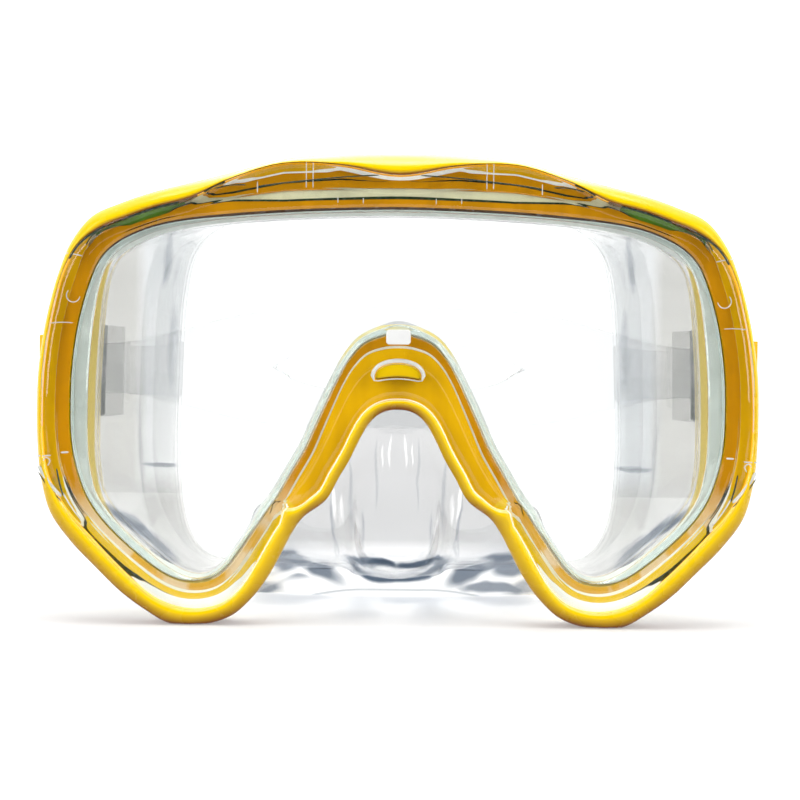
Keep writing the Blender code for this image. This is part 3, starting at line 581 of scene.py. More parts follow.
def band(name):
    """Strap silicone, greyer at the sides towards the back: a painted shade where the strap bends inward behind the
    mask.
    """
    m = Nodes(name)
    s = m.t.nodes.new("ShaderNodeSeparateXYZ")
    m.link(m.place(), s.inputs[0])
    back = m.remap(s.outputs["Y"], 0.02, 0.055, 0.0, 1.0)
    near = m.mix(m.remap(m.noise(60.0, 2.0, stretch=(1.0, 1.0, 0.3)), 0.35, 0.65, 0.0, 1.0),
                 (0.84, 0.84, 0.845), (0.76, 0.77, 0.785))
    # painted shade: greyer at the sides towards the back, where the strap bends inward
    sides = m.remap(math_node(m, "ABSOLUTE", s.outputs["X"]), 0.064, 0.074, 0.0, 1.0)
    rear = m.mix(sides, (0.83, 0.84, 0.845), (0.60, 0.62, 0.63))
    m.link(m.mix(back, near, rear), m.bsdf.inputs["Base Color"])
    m.link(m.remap(m.noise(120.0, 2.0), 0.3, 0.7, 0.06, 0.14), m.bsdf.inputs["Roughness"])
    m.bump(m.noise(90.0, 2.0), 0.06, 0.0005)
    m.set(Transmission_Weight=0.94, IOR=1.16)
    m.lamps_through((0.93, 0.94, 0.94))
    return m.mat


def rim_light(name):
    """Thick clear edge, drawn pale and partly clear: its pale colour is a painted highlight for the light the edge
    gathers.
    """
    m = Nodes(name)
    n = m.remap(m.noise(300.0, 2.0), 0.35, 0.65, 0.0, 1.0)
    m.link(m.mix(n, (0.96, 0.97, 0.96), (0.80, 0.84, 0.84)), m.bsdf.inputs["Base Color"])
    m.link(m.remap(m.noise(400.0, 2.0), 0.3, 0.7, 0.05, 0.15), m.bsdf.inputs["Roughness"])
    m.set(Transmission_Weight=0.35, IOR=1.5)
    return m.mat


def glowing(name, colour, glow):
    """Thin translucent plastic drawn with emission: a painted glow that stands in for the light passing through it
    from behind.
    """
    m = Nodes(name)
    n = m.remap(m.noise(90.0, 3.0, stretch=(1.0, 1.0, 0.3)), 0.35, 0.65, 0.0, 1.0)
    c = m.mix(n, colour, tuple(v * 0.88 for v in colour))
    m.link(c, m.bsdf.inputs["Base Color"])
    m.link(c, m.bsdf.inputs["Emission Color"])
    m.set(Emission_Strength=glow, Roughness=0.35)
    return m.mat


MAT = {
    # in each yellow() material the second colour is the painted shade of the underside
    "yellow": yellow("yellow_bare", (1.0, 0.66, 0.0), (0.22, 0.07, 0.0), 0.24, 0.28, painted_top_highlight=0.62),
    "amber": yellow("amber_under_bezel", (0.59, 0.25, 0.0), (0.48, 0.19, 0.0), 0.5, 0.04, streak=0.6, milky=0.75),
    "golden": yellow("golden_under_bezel", (0.84, 0.45, 0.0), (0.62, 0.30, 0.0), 0.5, 0.04, streak=0.6, milky=0.45),
    "plate": yellow("golden_nose_plate", (0.84, 0.45, 0.0), (0.62, 0.30, 0.0), 0.5, 0.05, streak=0.4),
    "pale": plain("pale_groove", (0.84, 0.80, 0.54), 0.30, vary=0.25, scale=160.0),
    # bright: white line with a faint glow, a painted highlight
    "bright": glowing("light_line_painted_highlight", (0.93, 0.94, 0.93), 0.16),
    # green: painted dark reflection lines
    "green": plain("dark_line_painted_reflection", (0.025, 0.05, 0.025), 0.25, vary=0.3, coat=0.3),
    "grass": plain("green_corner", (0.16, 0.40, 0.001), 0.4, vary=0.4, scale=150.0),
    # edge_glow and wall glow by emission: a painted glow for light passing through the plastic
    "edge_glow": glowing("golden_seat_edge_painted_glow", (0.95, 0.50, 0.01), 0.45),
    "wall": glowing("yellow_wall_painted_glow", (1.0, 0.80, 0.22), 0.42),
    "bezel": clear("bezel_clear", (0.91, 0.94, 0.925), 0.015, 1.49, tint=(0.96, 0.97, 0.965), bump=0.015),
    # rim: pale colour, a painted highlight on the window rim and the light threads
    "rim": rim_light("clear_rim_painted_highlight"),
    "lens": clear("lens_glass", (0.985, 0.995, 0.99), 0.0, 1.50, tint=(0.99, 0.99, 0.99)),
    "lens_edge": plain("lens_edge_pale", (0.70, 0.79, 0.75), 0.2, vary=0.15, coat=0.5),
    "flange": seat("skirt_flange_pale"),
    "skirt": silicone("skirt_silicone"),
    "strap": band("strap_silicone"),
    "white": plain("white_clip", (0.88, 0.88, 0.87), 0.35, vary=0.05),
    "frosted": clear("keeper_frosted", (0.92, 0.94, 0.93), 0.30, 1.46, tint=(0.8, 0.82, 0.81)),
    "steel": plain("pin_steel", (0.60, 0.61, 0.62), 0.24, metal=1.0, scale=500.0),
    "dark": plain("buckle_dark_green", (0.008, 0.05, 0.038), 0.45, vary=0.3, gloss=0.12),
    "lever": yellow("lever_yellow", (0.98, 0.60, 0.0), (0.5, 0.22, 0.0), 0.28),
}


def dress(ob, *names):
    mats = ob.data.materials
    for k, n in enumerate(names):
        if k < len(mats):
            mats[k] = MAT[n]
        else:
            mats.append(MAT[n])


def finish_piece(ob, body, nodes):
    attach(ob, body)
    if nodes:
        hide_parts(*nodes)
    return ob


# ------------------------------------------------------------- frame and bezel
def make_frame():
    sections, kinds = [], []
    for st in RING:
        b, r, back, ey, k = st["b"] + 0.12, st["r"], st["back"], st["ey"], st["k"]
        e = r - b
        nose = k >= 27
        wall = max(0.0, min(1.0, (k - 6.0) / 3.0, (18.5 - k) / 3.0)) * max(st["s"] - 1.9, 0.0)
        lip = 0.1 if nose else (-0.35 if k > 25.5 else -0.7)
        step = back - 0.9 if nose else 9.8
        poly, kind = [(0.1, 2.7)], []
        last = 0.1
        for q, end in enumerate(st["e"]):
            rim = 0.62 if k > 27.5 else (0.0 if k < 15.3 else 0.02 * 9)
            end = min(max(end, last + 0.012), b - rim - 0.02 * (9 - q))
            depth = BAND_DEPTH[q] if end - last > 0.15 else 2.7
            slot = BAND_SLOT[q]
            if q == 2 and 4.2 < k < 7.5:
                slot = 4
            elif q == 3 and 16.8 < k < 28.3:
                slot = 0
            elif q == 2 and k > 15.5:
                slot = 7
            elif q == 3 and k >= 28.1:
                slot = 8
            elif q == 7 and 15.3 < k < 16.9:
                slot = 0
            poly += [(last + 0.004, depth), (end, depth)]
            kind += [slot, slot]
            last = end
        poly += [(b - 0.012, 2.78), (b, 2.68), (b + 0.02, 0.6)]
        side = 9 if k < 3.9 or k > 7.8 else 0
        kind += [5 if k < 3.2 or 7.6 <= k <= 15.3 else (3 if k < 7.6 else 7), side, side]
        bulge = 0.34 * e + 0.35
        for q in range(13):
            a = math.pi * q / 12
            f = (1 - math.cos(a)) / 2
            y = lerp(0.15, ey, f ** 1.4) - bulge * math.sin(a) ** 0.8
            poly.append((lerp(b + 0.05, r, f), y))
            kind.append(0)
        poly += [(r, lerp(ey, back, 0.5)), (r - 0.1, back - 1.6), (r - 0.45, back - 0.6),
                 (r - 1.1, back), (r * 0.5, back), (lip - wall * 0.8, back), (lip - wall, back - 0.5),
                 (lip - wall, back - 3.6), (lip - wall * 0.9, back - 4.0), (lip, min(step, back - 4.2)),
                 (lip, step - 0.1), (0.1, step - 0.2)]
        if nose:
            poly = poly[:-8] + [(r * 0.5, back), (lip, back), (lip, step), (0.1, step - 0.1)]
            poly += [(0.1, lerp(step, 2.7, f)) for f in (0.2, 0.4, 0.6, 0.8)]
        kind += [0] * (len(poly) - len(kind))
        if not nose and wall > 0.3:
            for q in range(len(poly) - 7, len(poly) - 2):
                kind[q] = 6
        sections.append([(x, y, max(z, 0.0)) for x, y, z in (at(st, t, y) for t, y in poly)])
        kinds.append(kind)

    ob = ring_mesh("frame_shell", sections, lambda i, k: kinds[i][k], 40)
    dress(ob, "yellow", "amber", "pale", "green", "grass", "golden", "wall", "bright", "plate", "edge_glow")
    return finish_piece(ob, "mask", ["rear_frame"])


def make_bezel():
    sections = []
    for st in RING:
        b, s = st["b"] - 0.15, st["s"]
        tip = -0.72 * s
        rib = min(max(0.42 * b, 1.35), b - 2.45)
        poly = [(tip, 2.3), (tip - 0.02, 1.5), (tip + 0.12, 1.05), (tip + 0.45, 0.72),
                (tip * 0.5, 0.42), (-0.25, 0.18), (0.0, 0.07), (0.25, 0.02), (0.5, 0.0), (rib - 0.55, 0.0), (rib - 0.35, 0.0),
                (rib - 0.12, -0.10), (rib + 0.12, -0.10), (rib + 0.35, 0.0), (rib + 0.55, 0.0), (b - 1.75, 0.0), (b - 1.55, 0.0),
                (b - 1.2, 0.08), (b - 0.65, 0.34), (b - 0.25, 0.66), (b - 0.04, 1.05), (b, 1.4), (b, 2.3),
                (b * 0.5, 2.3), (0.1, 2.3)]
        sections.append([at(st, t, y) for t, y in poly])
    ob = ring_mesh("bezel_shell", sections, None, 30)
    arc = [(5.5 * math.sin(a), 58.3 + 4.0 * max(math.cos(a), 0.0) ** 0.72)
           for a in (math.pi * (0.5 - k / 24.0) for k in range(25))]
    low = [(-5.5 + 11.0 * k / 12.0, 58.05 + 0.75 * (1 - (k / 6.0 - 1) ** 2)) for k in range(1, 12)]
    window = arc + low
    n = len(window)
    mid = (sum(p[0] for p in window) / n, sum(p[1] for p in window) / n)

    def grown(d):
        nrm = outward(window)
        sign = 1 if nrm[0][0] * (window[0][0] - mid[0]) > 0 else -1
        thin = [1.0 if d <= 0.1 else (0.30 if sign * v < -0.5 else 0.85) for u, v in nrm]
        return [(x + sign * u * d * f, z + sign * v * d * f) for (x, z), (u, v), f in zip(window, nrm, thin)]

    rims = []
    for d, y in ((0.1, 0.5), (1.25, 0.02), (1.2, -0.2), (0.95, -0.52), (0.6, -0.64), (0.25, -0.5), (0.1, -0.2)):
        rims.append([(x, y, z) for x, z in grown(d)])
    rim = ring_mesh("window_rim", [[r[k] for r in rims] for k in range(n)], None, 40)
    dress(rim, "rim")
    finish_piece(rim, "mask", [])
    plug = loop_prism("window_plug", grown(-0.1), 0.25, 2.66)
    bev = plug.modifiers.new("edge", "BEVEL")
    bev.width = 0.5 * MM
    bev.segments = 3
    bev.limit_method = "ANGLE"
    bev.angle_limit = math.radians(50)
    dress(plug, "yellow")
    finish_piece(plug, "mask", [])
    cut = loop_prism("window_cutter", grown(0.05), -3.0, 6.0)
    mod = ob.modifiers.new("window", "BOOLEAN")
    mod.operation = "DIFFERENCE"
    mod.object = cut
    bpy.context.view_layer.update()
    dg = bpy.context.evaluated_depsgraph_get()
    mesh = bpy.data.meshes.new_from_object(ob.evaluated_get(dg))
    ob.modifiers.clear()
    old = ob.data
    ob.data = mesh
    bpy.data.meshes.remove(old)
    bpy.data.objects.remove(cut)
    ob.data.shade_smooth()
    ob.data.set_sharp_from_angle(angle=math.radians(30))
    dress(ob, "bezel")
    return finish_piece(ob, "mask", ["front_bezel"])


def loop_prism(name, outline, y0, y1):
    n = len(outline)
    verts = [(x, y, z) for y in (y0, y1) for x, z in outline]
    faces = [tuple(range(n)), tuple(range(2 * n - 1, n - 1, -1))]
    faces += [(k, (k + 1) % n, n + (k + 1) % n, n + k) for k in range(n)]
    return new_mesh(name, verts, faces, None, 0)


def make_lens():
    n = len(RING)
    loops = []
    for t, y in ((-0.6, 2.6), (-0.3, 2.85), (-0.3, 5.85), (-0.6, 6.1)):
        loops.append([at(st, t, y) for st in RING])
    verts = [p for loop in loops for p in loop]
    faces, mats = [tuple(range(n)), tuple(range(4 * n - 1, 3 * n - 1, -1))], [0, 0]
    for a in range(3):
        for k in range(n):
            l = (k + 1) % n
            faces.append((a * n + k, a * n + l, (a + 1) * n + l, (a + 1) * n + k))
            mats.append(1)
    ob = new_mesh("lens_plate", verts, faces, mats, 20)
    dress(ob, "lens", "lens_edge")
    return finish_piece(ob, "mask", ["lens"])


# ------------------------------------------------------------------ the skirt
def skirt_grid():
    """Middle surface of the skirt at the coarse stations, then drawn finer."""
    ring = COARSE
    face = mirrored(FACE, {0})
    fn = outward(face)
    cols = []
    for i, st in enumerate(ring):
        fx, fz, fy, flap = face[i]
        k = int(round(st["k"]))
        path = []
        if k < 28:
            x1, y1, z1 = at(st, -st["s"] + 0.55, 10.2)
            x2, y2, z2 = at(st, -st["s"] + 0.45, 13.6)
            path += [(x1, y1, z1), (x2, y2, z2)]
            for f in (0.10, 0.24, 0.40, 0.57, 0.74, 0.89):
                path.append((lerp(x2, fx, f), lerp(y2, fy - 0.6, f), lerp(z2, fz, f)))
        else:
            ox, oz = st["o"]
            pw, pd = POCKET[k - 28]
            pw *= 1.0 + 0.24 * pd / 27.0
            pw *= 1 if st["c"][0] >= 0 else -1
            path.append(at(st, 0.0, 10.05))
            path.append(at(st, st["r"] * 0.45, 10.1))
            path.append(at(st, st["r"] * 0.90, 10.3))
            path.append((lerp(ox, pw, 0.45), 9.0 + 0.50 * pd, lerp(oz, 24.0, 0.34)))
            path.append((pw, 4.4 + pd, lerp(oz, 24.0, 0.74)))
            lift = min((pw / 12.0) ** 2, 1.4)
            path.append((pw * (0.97 - 0.07 * lift), 3.6 + pd, 17.6 + 2.6 * lift))
            path.append((lerp(pw * (0.86 - 0.12 * lift), fx, 0.12), 9.4 + pd * 0.86, 11.2 + 3.2 * lift))
            path.append((lerp(pw, fx, 0.55), 30.0 + pd * 0.4, 9.4))
        nx, nz = fn[i]
        path.append((fx, fy, fz))
        path.append((fx + nx * 1.5, fy + 1.5, fz + nz * 1.5))
        path.append((fx + nx * flap * 0.55, fy + 1.6, fz + nz * flap * 0.55))
        path.append((fx + nx * flap, fy - 0.4, fz + nz * flap))
        cols.append(path)
    m = len(cols)
    for _ in range(16):
        old = [list(c) for c in cols]
        for i, st in enumerate(ring):
            w = 0.8 * max(0.0, 1.0 - abs(st["k"] - 27.8) / 4.8)
            if w <= 0.0:
                continue
            for k in range(2, 8):
                p = [lerp(old[i][k][j],
                          0.3 * (old[i - 1][k][j] + old[(i + 1) % m][k][j])
                          + 0.2 * (old[i][k - 1][j] + old[i][k + 1][j]), w) for j in range(3)]
                if k == 2 and st["k"] >= 28:
                    p[1] = max(p[1], 10.3)
                cols[i][k] = tuple(p)
    # finer round the ring
    rows = fine_loop([tuple(v for p in c for v in p) for c in cols], FINE)
    n = len(cols[0])
    fine = []
    per = 4
    for r in rows:
        pts = [r[3 * k:3 * k + 3] for k in range(n)]
        ext = [pts[0]] + pts + [pts[-1]]
        col = []
        for k in range(1, n):
            for q in range(per):
                t = q / per
                col.append(tuple(catmull(a, b, c, d, t) for a, b, c, d in zip(*ext[k - 1:k + 3])))
        col.append(tuple(pts[-1]))
        fine.append(col)
    return fine, per


def make_skirt():
    cols, per = skirt_grid()
    thick = [1.10, 1.15, 1.25, 1.3, 1.4, 1.4, 1.4, 1.4, 1.5, 1.5, 1.1, 0.6]
    m, n = len(cols), len(cols[0])
    sections = []
    for i, st in enumerate(RING):
        inner, outer = [], []
        for k in range(n):
            q, f = divmod(k, per)
            th = lerp(thick[q], thick[min(q + 1, 11)], f / per)
            p = Vector(cols[i][k])
            along = Vector(cols[i][min(k + 1, n - 1)]) - Vector(cols[i][max(k - 1, 0)])
            around = Vector(cols[(i + 1) % m][k]) - Vector(cols[i - 1][k])
            nv = along.cross(around)
            nv.normalize()
            inner.append(tuple(p + nv * th / 2))
            outer.append(tuple(p - nv * th / 2))
        s = st["s"]
        keep = s - 2.3 * max(0.0, min(1.0, (s - 3.0) / 1.2)) - 0.03
        sec = ([at(st, -s, 6.4), at(st, -s, 8.2)] + inner + outer[::-1]
               + [at(st, -0.25, 9.25), at(st, -0.25, 6.4), at(st, -keep, 6.4)])
        sections.append([(x, y, max(z, 0.0)) for x, y, z in sec])
    size = len(sections[0])
    ob = ring_mesh("skirt_shell", sections, lambda i, k: 1 if k == size - 2 else 0, 50)
    dress(ob, "skirt", "flange")
    return finish_piece(ob, "mask", ["skirt"])


# ------------------------------------------------------------------ the strap
def smooth(pts, per):
    out = []
    ext = [pts[0]] + list(pts) + [pts[-1]]
    for i in range(1, len(ext) - 2):
        for k in range(per):
            out.append(tuple(catmull(a, b, c, d, k / per) for a, b, c, d in zip(*ext[i - 1:i + 3])))
    out.append(tuple(pts[-1]))
    return out


def strap_half():
    rx, ry = ROLL
    tail = [(85.2, 79.0, 6.6), (85.3, 70.0, 6.8), (85.6, 62.0, 6.8), (87.0, 54.5, 6.8),
            (rx + 3.9, 48.5, 6.8)]
    turn = [(rx + 3.9 * math.cos(a), ry - 3.9 * math.sin(a), 6.8)
            for a in (math.pi * k / 16.0 for k in range(17))]
    run = smooth([(rx - 3.9, 46.0, 6.8), (81.3, 56.0, 6.8), (81.3, 66.0, 6.8), (80.6, 78.0, 6.8),
                  (78.0, 92.0, 7.0), (72.5, 108.0, 8.2), (62.5, 125.0, 11.4), (48.5, 140.0, 15.8),
                  (31.0, 151.5, 18.2), (14.0, 158.3, 18.8), (0.0, 160.2, 19.0)], 8)
    return smooth(tail, 6) + turn + run[1:]


def make_strap():
    half = strap_half()
    path = half + [(-x, y, h) for x, y, h in reversed(half[:-1])]
    verts, cols = [], 10
    for x, y, h in path:
        g = 0.0
        if y > 128.0:
            c = min(abs(x) / 36.0, 1.0)
            g = 7.6 * max(1 - c ** 2.6, 0.0) ** 0.55
        for q in range(cols):
            f = q / (cols - 1)
            verts.append((x, y, STRAP_Z - lerp(h, g, f)))
        for q in range(cols):
            f = q / (cols - 1)
            verts.append((x, y, STRAP_Z + lerp(g, h, f)))
    faces = []
    w = 2 * cols
    for i in range(len(path) - 1):
        for q in range(w - 1):
            if q == cols - 1:
                continue
            faces.append((i * w + q, (i + 1) * w + q, (i + 1) * w + q + 1, i * w + q + 1))
    mesh = bpy.data.meshes.new("strap_band_fine")
    mesh.from_pydata([point(p) for p in verts], [], faces)
    bm = bmesh.new()
    bm.from_mesh(mesh)
    bmesh.ops.remove_doubles(bm, verts=bm.verts, dist=1e-6)
    bmesh.ops.recalc_face_normals(bm, faces=bm.faces)
    bm.to_mesh(mesh)
    bm.free()
    ob = bpy.data.objects.new("strap_band_fine", mesh)
    bpy.context.scene.collection.objects.link(ob)
    mod = ob.modifiers.new("thick", "SOLIDIFY")
    mod.thickness = 2.1 * MM
    mod.offset = 0.0
    bev = ob.modifiers.new("edge", "BEVEL")
    bev.width = 0.45 * MM
    bev.segments = 3
    bev.limit_method = "ANGLE"
    bev.angle_limit = math.radians(50)
    ob.data.shade_smooth()
    dress(ob, "strap")
    return finish_piece(ob, "strap_band", ["strap"])


# -------------------------------------------------------------- small hardware
def fine_copy(node, name, mat, body, width=0.35, segments=3):
    """A CAD piece with its flats cleaned and its edges rounded."""
    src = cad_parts[node]
    mesh = src.data.copy()
    bm = bmesh.new()
    bm.from_mesh(mesh)
    bmesh.ops.remove_doubles(bm, verts=bm.verts, dist=1e-6)
    bmesh.ops.dissolve_limit(bm, angle_limit=math.radians(1.0), verts=bm.verts, edges=bm.edges)
    bmesh.ops.recalc_face_normals(bm, faces=bm.faces)
    bm.to_mesh(mesh)
    bm.free()
    ob = bpy.data.objects.new(name, mesh)
    bpy.context.scene.collection.objects.link(ob)
    bev = ob.modifiers.new("edge", "BEVEL")
    bev.width = width * MM
    bev.segments = segments
    bev.limit_method = "ANGLE"
    bev.angle_limit = math.radians(40)
    mesh.shade_smooth()
    mesh.set_sharp_from_angle(angle=math.radians(38))
    dress(ob, mat)
    return finish_piece(ob, body, [node])


def lathe(name, profile, centre, axis, mat, body, node, segs=40, closed=False):
    """Turned piece: profile of (radius, distance along the axis)."""
    cx, cy, cz = centre
    verts, faces = [], []
    n = len(profile)
    for s in range(segs):
        a = 2 * math.pi * s / segs
        for r, h in profile:
            u, v = r * math.cos(a), r * math.sin(a)
            if axis == "z":
                verts.append((cx + u, cy + v, cz + h))
            else:
                verts.append((cx + h * axis, cy + u, cz + v))
    last = n if closed else n - 1
    for s in range(segs):
        t = (s + 1) % segs
        for k in range(last):
            l = (k + 1) % n
            faces.append((s * n + k, s * n + l, t * n + l, t * n + k))
    ob = new_mesh(name, verts, faces, None, 35)
    dress(ob, mat)
    return finish_piece(ob, body, [node])


def make_hardware():
    py, pz = PIVOT
    for tag, side in (("right", 1), ("left", -1)):
        b = "buckle_" + tag
        fine_copy("buckle_body_" + tag, "buckle_shell_" + tag, "dark", b, 0.4)
        fine_copy("release_lever_" + tag, "lever_shell_" + tag, "lever", "lever_" + tag, 0.3)
        fine_copy("lever_spring_" + tag, "leaf_spring_" + tag, "steel", b, 0.1, 2)
        fine_copy("strap_keeper_" + tag, "keeper_loop_" + tag, "frosted", "strap_band", 0.3)
        fine_copy("pin_clip_" + tag, "open_clip_" + tag, "steel", "mask", 0.15, 2)
        wall, end = 8.9, 11.6
        drum = [(2.4, wall - 0.3), (2.25, wall), (1.25, wall), (1.15, wall - 0.1), (1.15, -wall + 0.1),
                (1.25, -wall), (2.25, -wall), (2.4, -wall + 0.3)]
        for g in range(-4, 5):
            drum += [(2.4, g * 1.8 - 0.35), (2.22, g * 1.8 - 0.2), (2.22, g * 1.8 + 0.2), (2.4, g * 1.8 + 0.35)]
        lathe("roller_drum_" + tag, drum, (ROLL[0] * side, ROLL[1], STRAP_Z), "z", "frosted",
              "roller_" + tag, "strap_roller_" + tag, closed=True)
        pin = [(0.0, end + 1.1), (1.1, end + 1.08), (1.55, end + 0.95), (1.8, end + 0.7), (1.8, end + 0.3),
               (1.7, end + 0.2), (1.05, end + 0.2), (1.05, -end - 0.5), (0.95, -end - 0.75), (0.6, -end - 0.9),
               (0.0, -end - 0.9)]
        lathe("roller_axle_" + tag, pin, (ROLL[0] * side, ROLL[1], STRAP_Z), "z", "steel", b,
              "roller_pin_" + tag)
        slim = [(max(r - 0.1, 0.0), h) for r, h in pin]
        lathe("lever_axle_" + tag, slim, (LEVER[0] * side, LEVER[1], STRAP_Z), "z", "steel", b,
              "lever_pin_" + tag)
        hub = [(0.0, 8.5), (1.2, 8.5), (1.75, 8.25), (2.0, 7.9), (2.0, -1.9), (3.1, -2.0), (3.3, -2.2),
               (3.3, -2.8), (3.0, -3.15), (2.2, -3.35), (0.0, -3.4)]
        lathe("swivel_axle_" + tag, hub, (78.0 * side, py, pz), side, "steel", "mask",
              "swivel_pin_" + tag)
    fine_copy("nose_clip", "nose_lock_tab", "white", "mask", 0.25)


def make_lugs():
    """The frame's two lugs, bored for the swivel pins."""
    cy, cz = PIVOT
    for tag, side in (("right", 1), ("left", -1)):
        n = 20
        arc = [(cy + 6.4 * math.cos(a), cz + 6.4 * math.sin(a))
               for a in (math.pi * (k / n - 0.5) for k in range(n + 1))]
        outer = [(12.4, cz - 8.0), (16.0, cz - 7.6)] + arc + [(16.0, cz + 7.6), (12.4, cz + 8.0)]
        m = len(outer)
        inner = []
        for y, z in outer:
            a = math.atan2(z - cz, y - cy)
            inner.append((cy + 2.12 * math.cos(a), cz + 2.12 * math.sin(a)))
        rings = []
        for x, loop, g in ((80.0, inner, 0), (80.0, outer, 0.4), (80.4, outer, 0), (82.8, outer, 0),
                           (83.2, outer, 0.4), (83.2, inner, 0)):
            pts = []
            for y, z in loop:
                d = math.hypot(y - cy, z - cz)
                f = (d - g) / d
                pts.append((x * side, cy + (y - cy) * f, cz + (z - cz) * f))
            rings.append(pts)
        verts = [p for r in rings for p in r]
        faces = []
        for a in range(6):
            c = (a + 1) % 6
            for k in range(m):
                l = (k + 1) % m
                faces.append((a * m + k, a * m + l, c * m + l, c * m + k))
        ob = new_mesh("frame_lug_" + tag, verts, faces, None, 35)
        dress(ob, "yellow")
        finish_piece(ob, "mask", [])


# ------------------------------------------------------------- moulding marks, painted highlights and dark lines
def thread(points, radius, sides=7):
    """Closed little tube along a path: vertices and faces."""
    verts, faces = [], []
    n = len(points)
    for i, p in enumerate(points):
        a, b = points[max(i - 1, 0)], points[min(i + 1, n - 1)]
        tx, tz = b[0] - a[0], b[2] - a[2]
        d = math.hypot(tx, tz) or 1.0
        nx, nz = -tz / d, tx / d
        f = 1.0 if 0 < i < n - 1 else 0.45
        for s in range(sides):
            w = 2 * math.pi * s / sides
            u, v = radius * f * math.cos(w), radius * f * math.sin(w)
            verts.append((p[0] + nx * u, p[1] + v, p[2] + nz * u))
    for i in range(n - 1):
        for s in range(sides):
            k = (s + 1) % sides
            faces.append((i * sides + s, i * sides + k, (i + 1) * sides + k, (i + 1) * sides + s))
    faces.append(tuple(range(sides - 1, -1, -1)))
    faces.append(tuple((n - 1) * sides + s for s in range(sides)))
    return verts, faces


def make_marks():
    """Ribs, parting lines and ejector rings moulded in the clear bezel, drawn as thin light and dark threads, with
    more threads that are painted highlights and painted dark reflection lines.
    """
    ring = [(-76.9 + 1.6 * math.cos(a), 77.6 + 1.6 * math.sin(a))
            for a in (math.pi * (0.75 + 1.2 * k / 14.0) for k in range(15))]
    light = [
        ([(-79.3, 87.6), (-77.2, 87.4), (-74.8, 86.9)], 0.13),
        ([(-82.3, 71.0), (-79.6, 71.2), (-76.9, 71.1)], 0.10),
        ([(-85.2, 39.6), (-83.4, 39.6), (-82.0, 39.7)], 0.16),
        ([(-79.6, 40.4), (-77.8, 40.5)], 0.22),
        ([(-83.0, 68.5), (-83.9, 62.0), (-84.5, 54.6)], 0.09),
        ([(-22.1, 110.0), (-22.1, 106.0), (-22.1, 103.5)], 0.11),
        ([(-20.5, 110.0), (-20.5, 106.0), (-20.5, 103.5)], 0.11),
        ([(-33.6, 104.8), (-33.6, 102.2)], 0.13),
        ([(-14.6, 101.3), (-14.6, 100.0)], 0.10),
        ([(-8.6, 101.2), (-8.6, 99.9)], 0.10),
        (ring, 0.11),
        ([(-84.8, 37.2), (-83.6, 35.0), (-81.6, 32.3), (-79.5, 30.0)], 0.42),
        ([(-83.9, 38.3), (-83.1, 39.2), (-82.2, 38.5), (-82.7, 37.3)], 0.13),
    ]
    dark = [
        ([(-46.2, 102.2), (-43.8, 103.6), (-41.2, 104.7)], 0.20),
        ([(-43.6, 103.1), (-40.0, 103.9), (-36.4, 104.0)], 0.16),
        ([(-74.0, 89.4), (-72.6, 91.6), (-70.6, 93.4)], 0.16),
        ([(-33.4, 103.7), (-28.0, 104.5), (-21.0, 105.3), (-13.0, 106.1), (-5.0, 106.6)], 0.16),
        ([(-80.6, 36.6), (-79.9, 33.2), (-79.0, 30.2)], 0.20),
        ([(-84.9, 35.7), (-82.6, 32.2), (-79.4, 28.9)], 0.13),
    ]
    for lo, hi, rad in ((4.3, 6.2, 0.26), (6.7, 8.6, 0.22)):
        path = [at(st, st["b"] - 0.12, 0.12) for st in RING[:37 * FINE] if lo <= st["k"] <= hi]
        dark.append(([(-x, z) for x, y, z in path[::2]], rad))
    for lo, hi, t, rad in ((15.6, 16.9, 0.72, 0.18), (9.5, 13.6, 0.97, 0.09)):
        path = [at(st, st["b"] * t, 0.0) for st in RING[:37 * FINE] if lo <= st["k"] <= hi]
        light.append(([(-x, z) for x, y, z in path[::2]], rad))
    for tag, lines, mat in (("light", light, "rim"), ("dark", dark, "green")):
        verts, faces = [], []
        for path, rad in lines:
            fine = smooth([(x, -0.02, z) for x, z in path], 5)
            for side in (1, -1):
                v, f = thread([(x * side, y, z) for x, y, z in fine], rad)
                base = len(verts)
                verts += v
                faces += [tuple(base + q for q in face) for face in f]
        ob = new_mesh("bezel_marks_and_painted_lines_" + tag, verts, faces, None, 60)
        dress(ob, mat)
        finish_piece(ob, "mask", [])


# ------------------------------------------------------------- light and stage
def soft_light(name, loc, target, size, power, colour=(1, 1, 1), size_y=None):
    data = bpy.data.lights.new(name, "AREA")
    data.energy = power
    data.color = colour
    data.shape = "RECTANGLE"
    data.size = size
    data.size_y = size_y or size
    ob = bpy.data.objects.new(name, data)
    ob.location = loc
    ob.rotation_euler = (Vector(target) - Vector(loc)).to_track_quat("-Z", "Y").to_euler()
    bpy.context.scene.collection.objects.link(ob)
    return ob


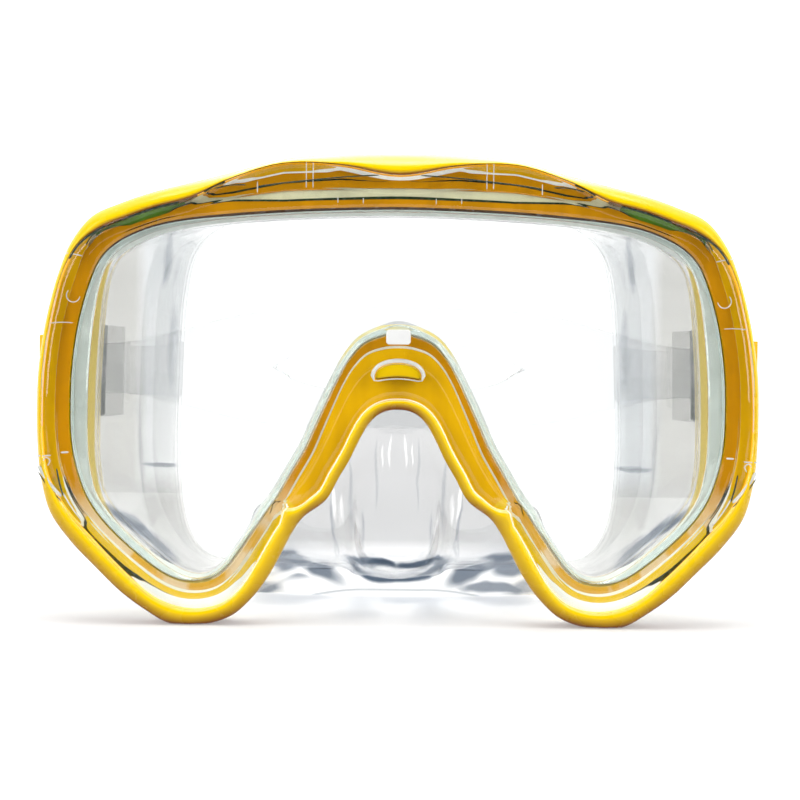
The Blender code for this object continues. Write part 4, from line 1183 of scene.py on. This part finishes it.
def make_stage():
    scene = bpy.context.scene
    # floor that curves up into a backdrop
    pts = [(-0.52, 0.0), (-0.2, 0.0), (0.3, 0.0), (0.9, 0.0)]
    pts += [(0.9 + 0.6 * math.sin(a), 0.6 * (1 - math.cos(a))) for a in (math.pi / 2 * k / 12 for k in range(1, 13))]
    pts += [(1.5, 3.0)]
    verts = [Vector((x, y, z - 0.0002)) for x in (-3.0, 3.0) for y, z in pts]
    n = len(pts)
    mesh = bpy.data.meshes.new("studio_floor")
    mesh.from_pydata(verts, [], [(k, n + k, n + k + 1, k + 1) for k in range(n - 1)])
    floor = bpy.data.objects.new("studio_floor", mesh)
    scene.collection.objects.link(floor)
    mesh.shade_smooth()
    m = Nodes("studio_white")
    m.set(Base_Color=(0.62, 0.62, 0.62, 1), Roughness=0.9)
    m.set(Emission_Color=(1, 1, 1, 1))
    # the floor's emission is a painted glow, dimmer near the mask and brighter farther off
    flat = m.t.nodes.new("ShaderNodeVectorMath")
    flat.operation = "LENGTH"
    m.link(m.place(), flat.inputs[0])
    m.link(m.remap(flat.outputs["Value"], 0.25, 1.3, 0.30, 0.90), m.bsdf.inputs["Emission Strength"])
    mesh.materials.append(m.mat)

    world = bpy.data.worlds.new("studio")
    scene.world = world
    world.use_nodes = True
    wt = world.node_tree
    bg = wt.nodes["Background"]
    bg.inputs[0].default_value = (0.98, 0.99, 1.0, 1)
    tc = wt.nodes.new("ShaderNodeTexCoord")
    sep = wt.nodes.new("ShaderNodeSeparateXYZ")
    rng = wt.nodes.new("ShaderNodeMapRange")
    wt.links.new(tc.outputs["Generated"], sep.inputs[0])
    wt.links.new(sep.outputs["Y"], rng.inputs["Value"])
    for key, v in (("From Min", -0.95), ("From Max", 0.1), ("To Min", 0.04), ("To Max", 0.42)):
        rng.inputs[key].default_value = v
    path = wt.nodes.new("ShaderNodeLightPath")
    plain_view = wt.nodes.new("ShaderNodeMath")
    plain_view.operation = "MAXIMUM"
    behind = wt.nodes.new("ShaderNodeMath")
    behind.operation = "GREATER_THAN"
    behind.inputs[1].default_value = -0.25
    wt.links.new(sep.outputs["Y"], behind.inputs[0])
    through = wt.nodes.new("ShaderNodeMath")
    through.operation = "MULTIPLY"
    wt.links.new(path.outputs["Is Transmission Ray"], through.inputs[0])
    wt.links.new(behind.outputs[0], through.inputs[1])
    wt.links.new(path.outputs["Is Camera Ray"], plain_view.inputs[0])
    wt.links.new(through.outputs[0], plain_view.inputs[1])
    pick = wt.nodes.new("ShaderNodeMix")
    pick.inputs[3].default_value = 1.02
    wt.links.new(plain_view.outputs[0], pick.inputs[0])
    wt.links.new(rng.outputs["Result"], pick.inputs[2])
    wt.links.new(pick.outputs[0], bg.inputs[1])
    soft_light("top_soft", (0.0, -0.10, 0.95), (0, -0.03, 0.05), 0.7, 6.0, size_y=0.35)
    soft_light("left_soft", (-0.75, -0.62, 0.42), (0, -0.05, 0.05), 0.35, 4.5, size_y=0.8)
    soft_light("right_soft", (0.75, -0.62, 0.42), (0, -0.05, 0.05), 0.35, 4.5, size_y=0.8)
    soft_light("back_soft", (0.0, 0.75, 0.8), (0, 0.0, 0.05), 0.8, 3.0, size_y=0.5)
    scene.view_settings.view_transform = "Standard"
    scene.view_settings.look = "None"
    scene.cycles.max_bounces = 20
    scene.cycles.transmission_bounces = 20
    scene.cycles.transparent_max_bounces = 24

    cam = bpy.data.cameras.new("camera")
    ob = bpy.data.objects.new("camera", cam)
    scene.collection.objects.link(ob)
    cam.lens = 95.2
    cam.clip_start = 0.01
    front = -Y_MID * MM
    eye = Vector((0.0005, front - 0.5, 0.0660))
    aim = Vector((0.0005, front, 0.0536))
    rot = (aim - eye).to_track_quat("-Z", "Y")
    ob.location = eye
    ob.rotation_euler = (rot.to_matrix().to_4x4() @ Matrix.Rotation(math.radians(0.55), 4, "Z")).to_euler()
    scene.camera = ob


make_frame()
make_bezel()
make_lens()
make_skirt()
make_strap()
make_lugs()
make_hardware()
make_marks()
make_stage()
